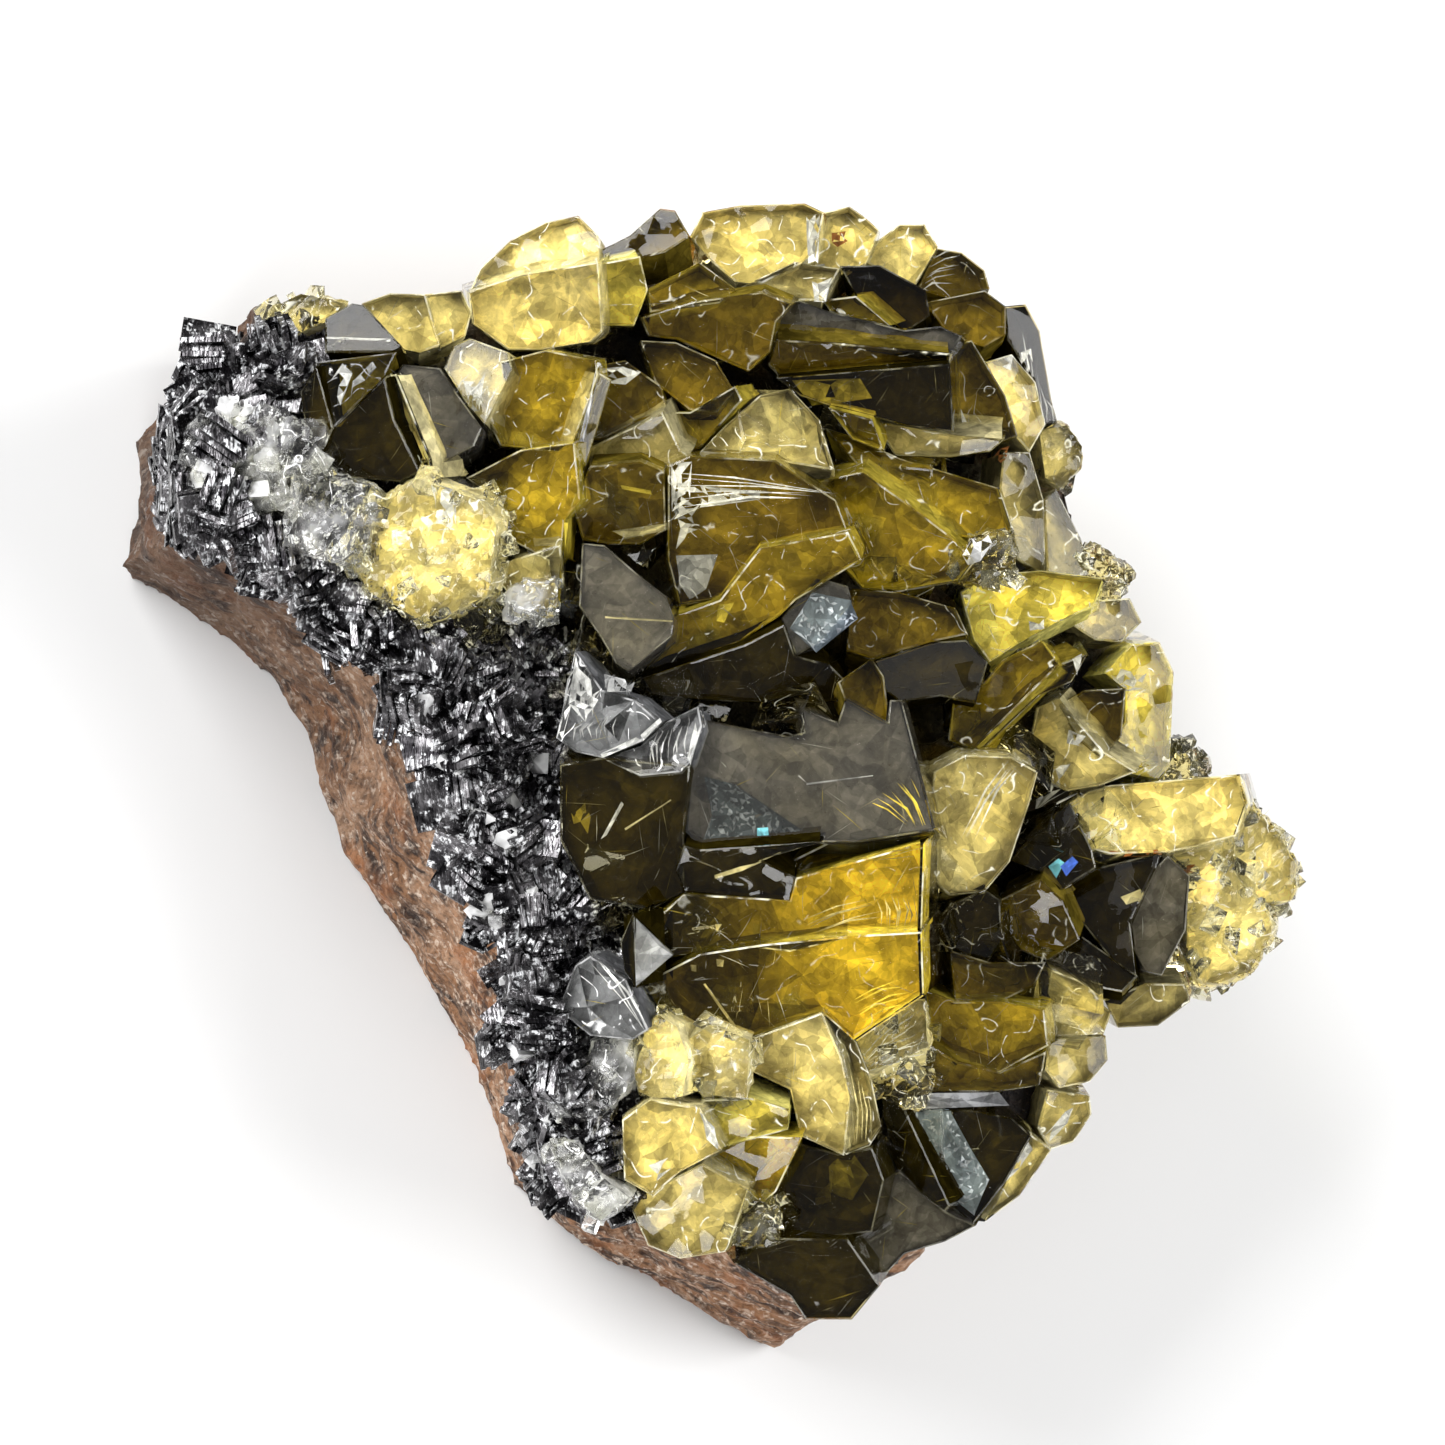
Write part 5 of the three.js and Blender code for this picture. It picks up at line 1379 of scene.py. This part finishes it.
def add_flaw(cracks, name, corners, depth, strength, tint):
    """A single crack from its row."""
    _, middle, normal = face_plane(*FACES[name])
    outline = [seen_on(x, y, middle, normal) for x, y in corners]
    facet, cover = FLAW_GRAIN.get(tint, OTHER_FLAW_GRAIN)
    cracks.add_sheet(outline, normal, depth, facet, FLAW_CRUMPLE, tint,
                     lambda point: strength * cracks.draw.uniform(*FLAW_LIGHT), cover)


def add_ribs(cracks, name, first, last, count, depth, strength, tint):
    """Cracks side by side from their row."""
    draw = cracks.draw
    _, middle, normal = face_plane(*FACES[name])
    for k in range(count):
        ends = [[a + (b - a) * k / (count - 1) for a, b in zip(p, q)] for p, q in zip(first, last)]
        start, end = (seen_on(x + draw.uniform(-RIB_JITTER, RIB_JITTER), y + draw.uniform(-RIB_JITTER, RIB_JITTER),
                              middle, normal) for x, y in ends)
        wide = normal.cross(end - start).normalized() * draw.uniform(0.06, 0.18)
        bend = start.lerp(end, draw.uniform(0.35, 0.65)) + wide * 1.6
        cracks.add([p - normal * depth for p in (start, bend, end, bend + wide)], tint,
                   strength * draw.uniform(0.7, 1.1))


def make_painted_glow():
    """All the cracks and sheets of painted light inside the crystals, as one piece."""
    cracks = Cracks(17)
    for name in FACES:
        painted_glow_face(cracks, name)
    for row in FLAWS:
        add_flaw(cracks, *row)
    for row in RIBS:
        add_ribs(cracks, *row)
    mesh = cracks.mesh("inner_cracks")
    mesh.materials.append(painted_glow_paint())
    return place_mesh("inner_cracks", mesh)


# The rock and its crust.

ROCK_VOXEL = 0.5
LUMP_RISE, LAYER_RISE, GRAIN_RISE = 0.55, 0.3, 0.2
ROCK_SINK = 0.4  # how far the relief lies under the solid's surface
RELIEF_HEIGHT = 1.5  # where the relief is whole; under it, the rock's foot stays flat
LIFT_HEIGHT = 2  # where the relief starts to go up and down too
CRUST_VOXEL = 0.3
CRUST_RISE = 0.4
CRUST_SINK = 0.1


def make_rock():
    """The rock with lumps, layers and grain."""
    mesh = remeshed(cad_copy("matrix_rock", "rock_form"), ROCK_VOXEL)
    mesh.calc_loop_triangles()
    normals = [vert.normal.copy() for vert in mesh.vertices]
    for vert, normal in zip(mesh.vertices, normals):
        place = vert.co
        lump = noise.fractal(place / 5.0, 0.7, 2.1, 4)
        layer = noise.noise(Vector((place.x / 9, place.y / 5, place.z / 1.3)))
        grain = noise.noise(place / 0.8)
        rise = LUMP_RISE * lump + LAYER_RISE * layer + GRAIN_RISE * grain - ROCK_SINK
        away = Vector((normal.x, normal.y, normal.z * min(1, max(0, place.z - LIFT_HEIGHT))))
        vert.co = place + away * rise * max(0, min(1, place.z / RELIEF_HEIGHT))
    keep_inside(mesh)
    mesh.materials.clear()
    mesh.materials.append(rock_paint())
    return place_mesh("rock", mesh)


def sheaf_shapes():
    """Sheaves of thin dark plates, side by side and a little splayed."""
    draw = random.Random(23)
    for _ in range(5):
        shape = bmesh.new()
        count = draw.randint(4, 6)
        for k in range(count):
            plate = cube_shape()
            height = draw.uniform(0.6, 1.2)
            plate.transform(Matrix.Translation(((k - count / 2) * 0.17, draw.uniform(-0.1, 0.1), 0.25 * height))
                            @ Matrix.Rotation(draw.uniform(-0.16, 0.16), 4, "Y")
                            @ Matrix.Diagonal((0.14, draw.uniform(0.6, 1.2), height, 1)))
            add_shape(shape, plate, "plate")
        yield shape


def make_crust():
    """The crust, uneven and dressed with sheaves of plates on the sides that show."""
    paint = crust_paint()
    mesh = remeshed(cad_copy("dark_crust", "crust_form"), CRUST_VOXEL)
    normals = [vert.normal.copy() for vert in mesh.vertices]
    for vert, normal in zip(mesh.vertices, normals):
        place = vert.co
        vert.co = place + normal * (CRUST_RISE * noise.fractal(place / 1.6, 0.8, 2.2, 3) - CRUST_SINK)
    face_mark(mesh, "room", [max(0.0, min(1.0, (face.normal.dot(SIGHT) + 0.3) * 1.5)) for face in mesh.polygons])
    dressed = grown(mesh, shard_tree(), sheaf_shapes(), scatter_values("sheaves", 5, paint))
    keep_inside(dressed)
    return place_mesh("crust", dressed)


# Stage, light and camera.

# Each lamp: degrees off the line of sight, the side of the picture that it is toward, its distance and size in
# metres, and its watts.
LAMPS = {
    "face_softbox": (14, 112, 0.75, 0.19, 0.08),
    "key_softbox": (60, 130, 1.1, 0.9, 20),
    "side_softbox": (64, 5, 1.1, 0.8, 11),
    "low_softbox": (58, 250, 1.1, 0.55, 8),
}
SKY_STRENGTH = 0.22
FLOOR_REACH = 1500
SENSOR_WIDTH = 36


def add_softbox(name, lean, side, distance, size, watts):
    """A soft lamp from its row, aimed at the point in focus."""
    lamp = bpy.data.lights.new(name, "AREA")
    lamp.shape = "SQUARE"
    lamp.size = size
    lamp.energy = watts
    thing = add_object(name, lamp)
    target = (PICTURE_TURN @ (UP * FOCUS_DEPTH) + CENTRE_SHIFT) * MM
    place = target + PICTURE_TURN @ (lean_turn(lean, side) @ UP) * distance
    thing.matrix_world = Matrix.Translation(place) @ (target - place).to_track_quat("-Z", "Y").to_matrix().to_4x4()
    thing.visible_camera = False


def make_stage():
    """The floor, the lamps and the light from all around."""
    shape = bmesh.new()
    bmesh.ops.create_grid(shape, x_segments=1, y_segments=1, size=FLOOR_REACH)
    mesh = mesh_of(shape, "floor")
    mesh.materials.append(floor_paint())
    floor = place_mesh("floor", mesh)
    for name, row in LAMPS.items():
        add_softbox(name, *row)
    world = bpy.data.worlds.new("studio")
    world.use_nodes = True
    sky = world.node_tree.nodes["Background"]
    sky.inputs["Color"].default_value = (1, 1, 1, 1)
    sky.inputs["Strength"].default_value = SKY_STRENGTH
    bpy.context.scene.world = world


def make_camera():
    """The photo's view: its middle looks at the point in focus."""
    lens = bpy.data.cameras.new("camera")
    lens.sensor_width = SENSOR_WIDTH
    lens.lens = SENSOR_WIDTH * SIGHT_DISTANCE / (PICTURE_WIDTH * MM_PER_PIXEL)
    lens.clip_start = 0.01
    lens.clip_end = 10
    camera = add_object("camera", lens)
    camera.matrix_world = Matrix.Translation((EYE + CENTRE_SHIFT) * MM) @ PICTURE_FRAME
    bpy.context.scene.camera = camera


make_camera()
make_stage()
# As many bounces as the crystals need, and no more, which keeps a render short.
cycles = bpy.context.scene.cycles
cycles.max_bounces = 5
cycles.transmission_bounces = 4
cycles.glossy_bounces = 2
cycles.diffuse_bounces = 1
cycles.transparent_max_bounces = 6
rock = make_rock()
crust = make_crust()
druse, grains = make_crystals()
cracks = make_painted_glow()
for piece in (rock, crust, druse, grains, cracks):
    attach(piece, "root")
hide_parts("matrix_rock")
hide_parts("dark_crust")
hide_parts("fluorite_crystals")
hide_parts("fluorite_crystals")
bpy.context.scene.view_settings.view_transform = "Standard"
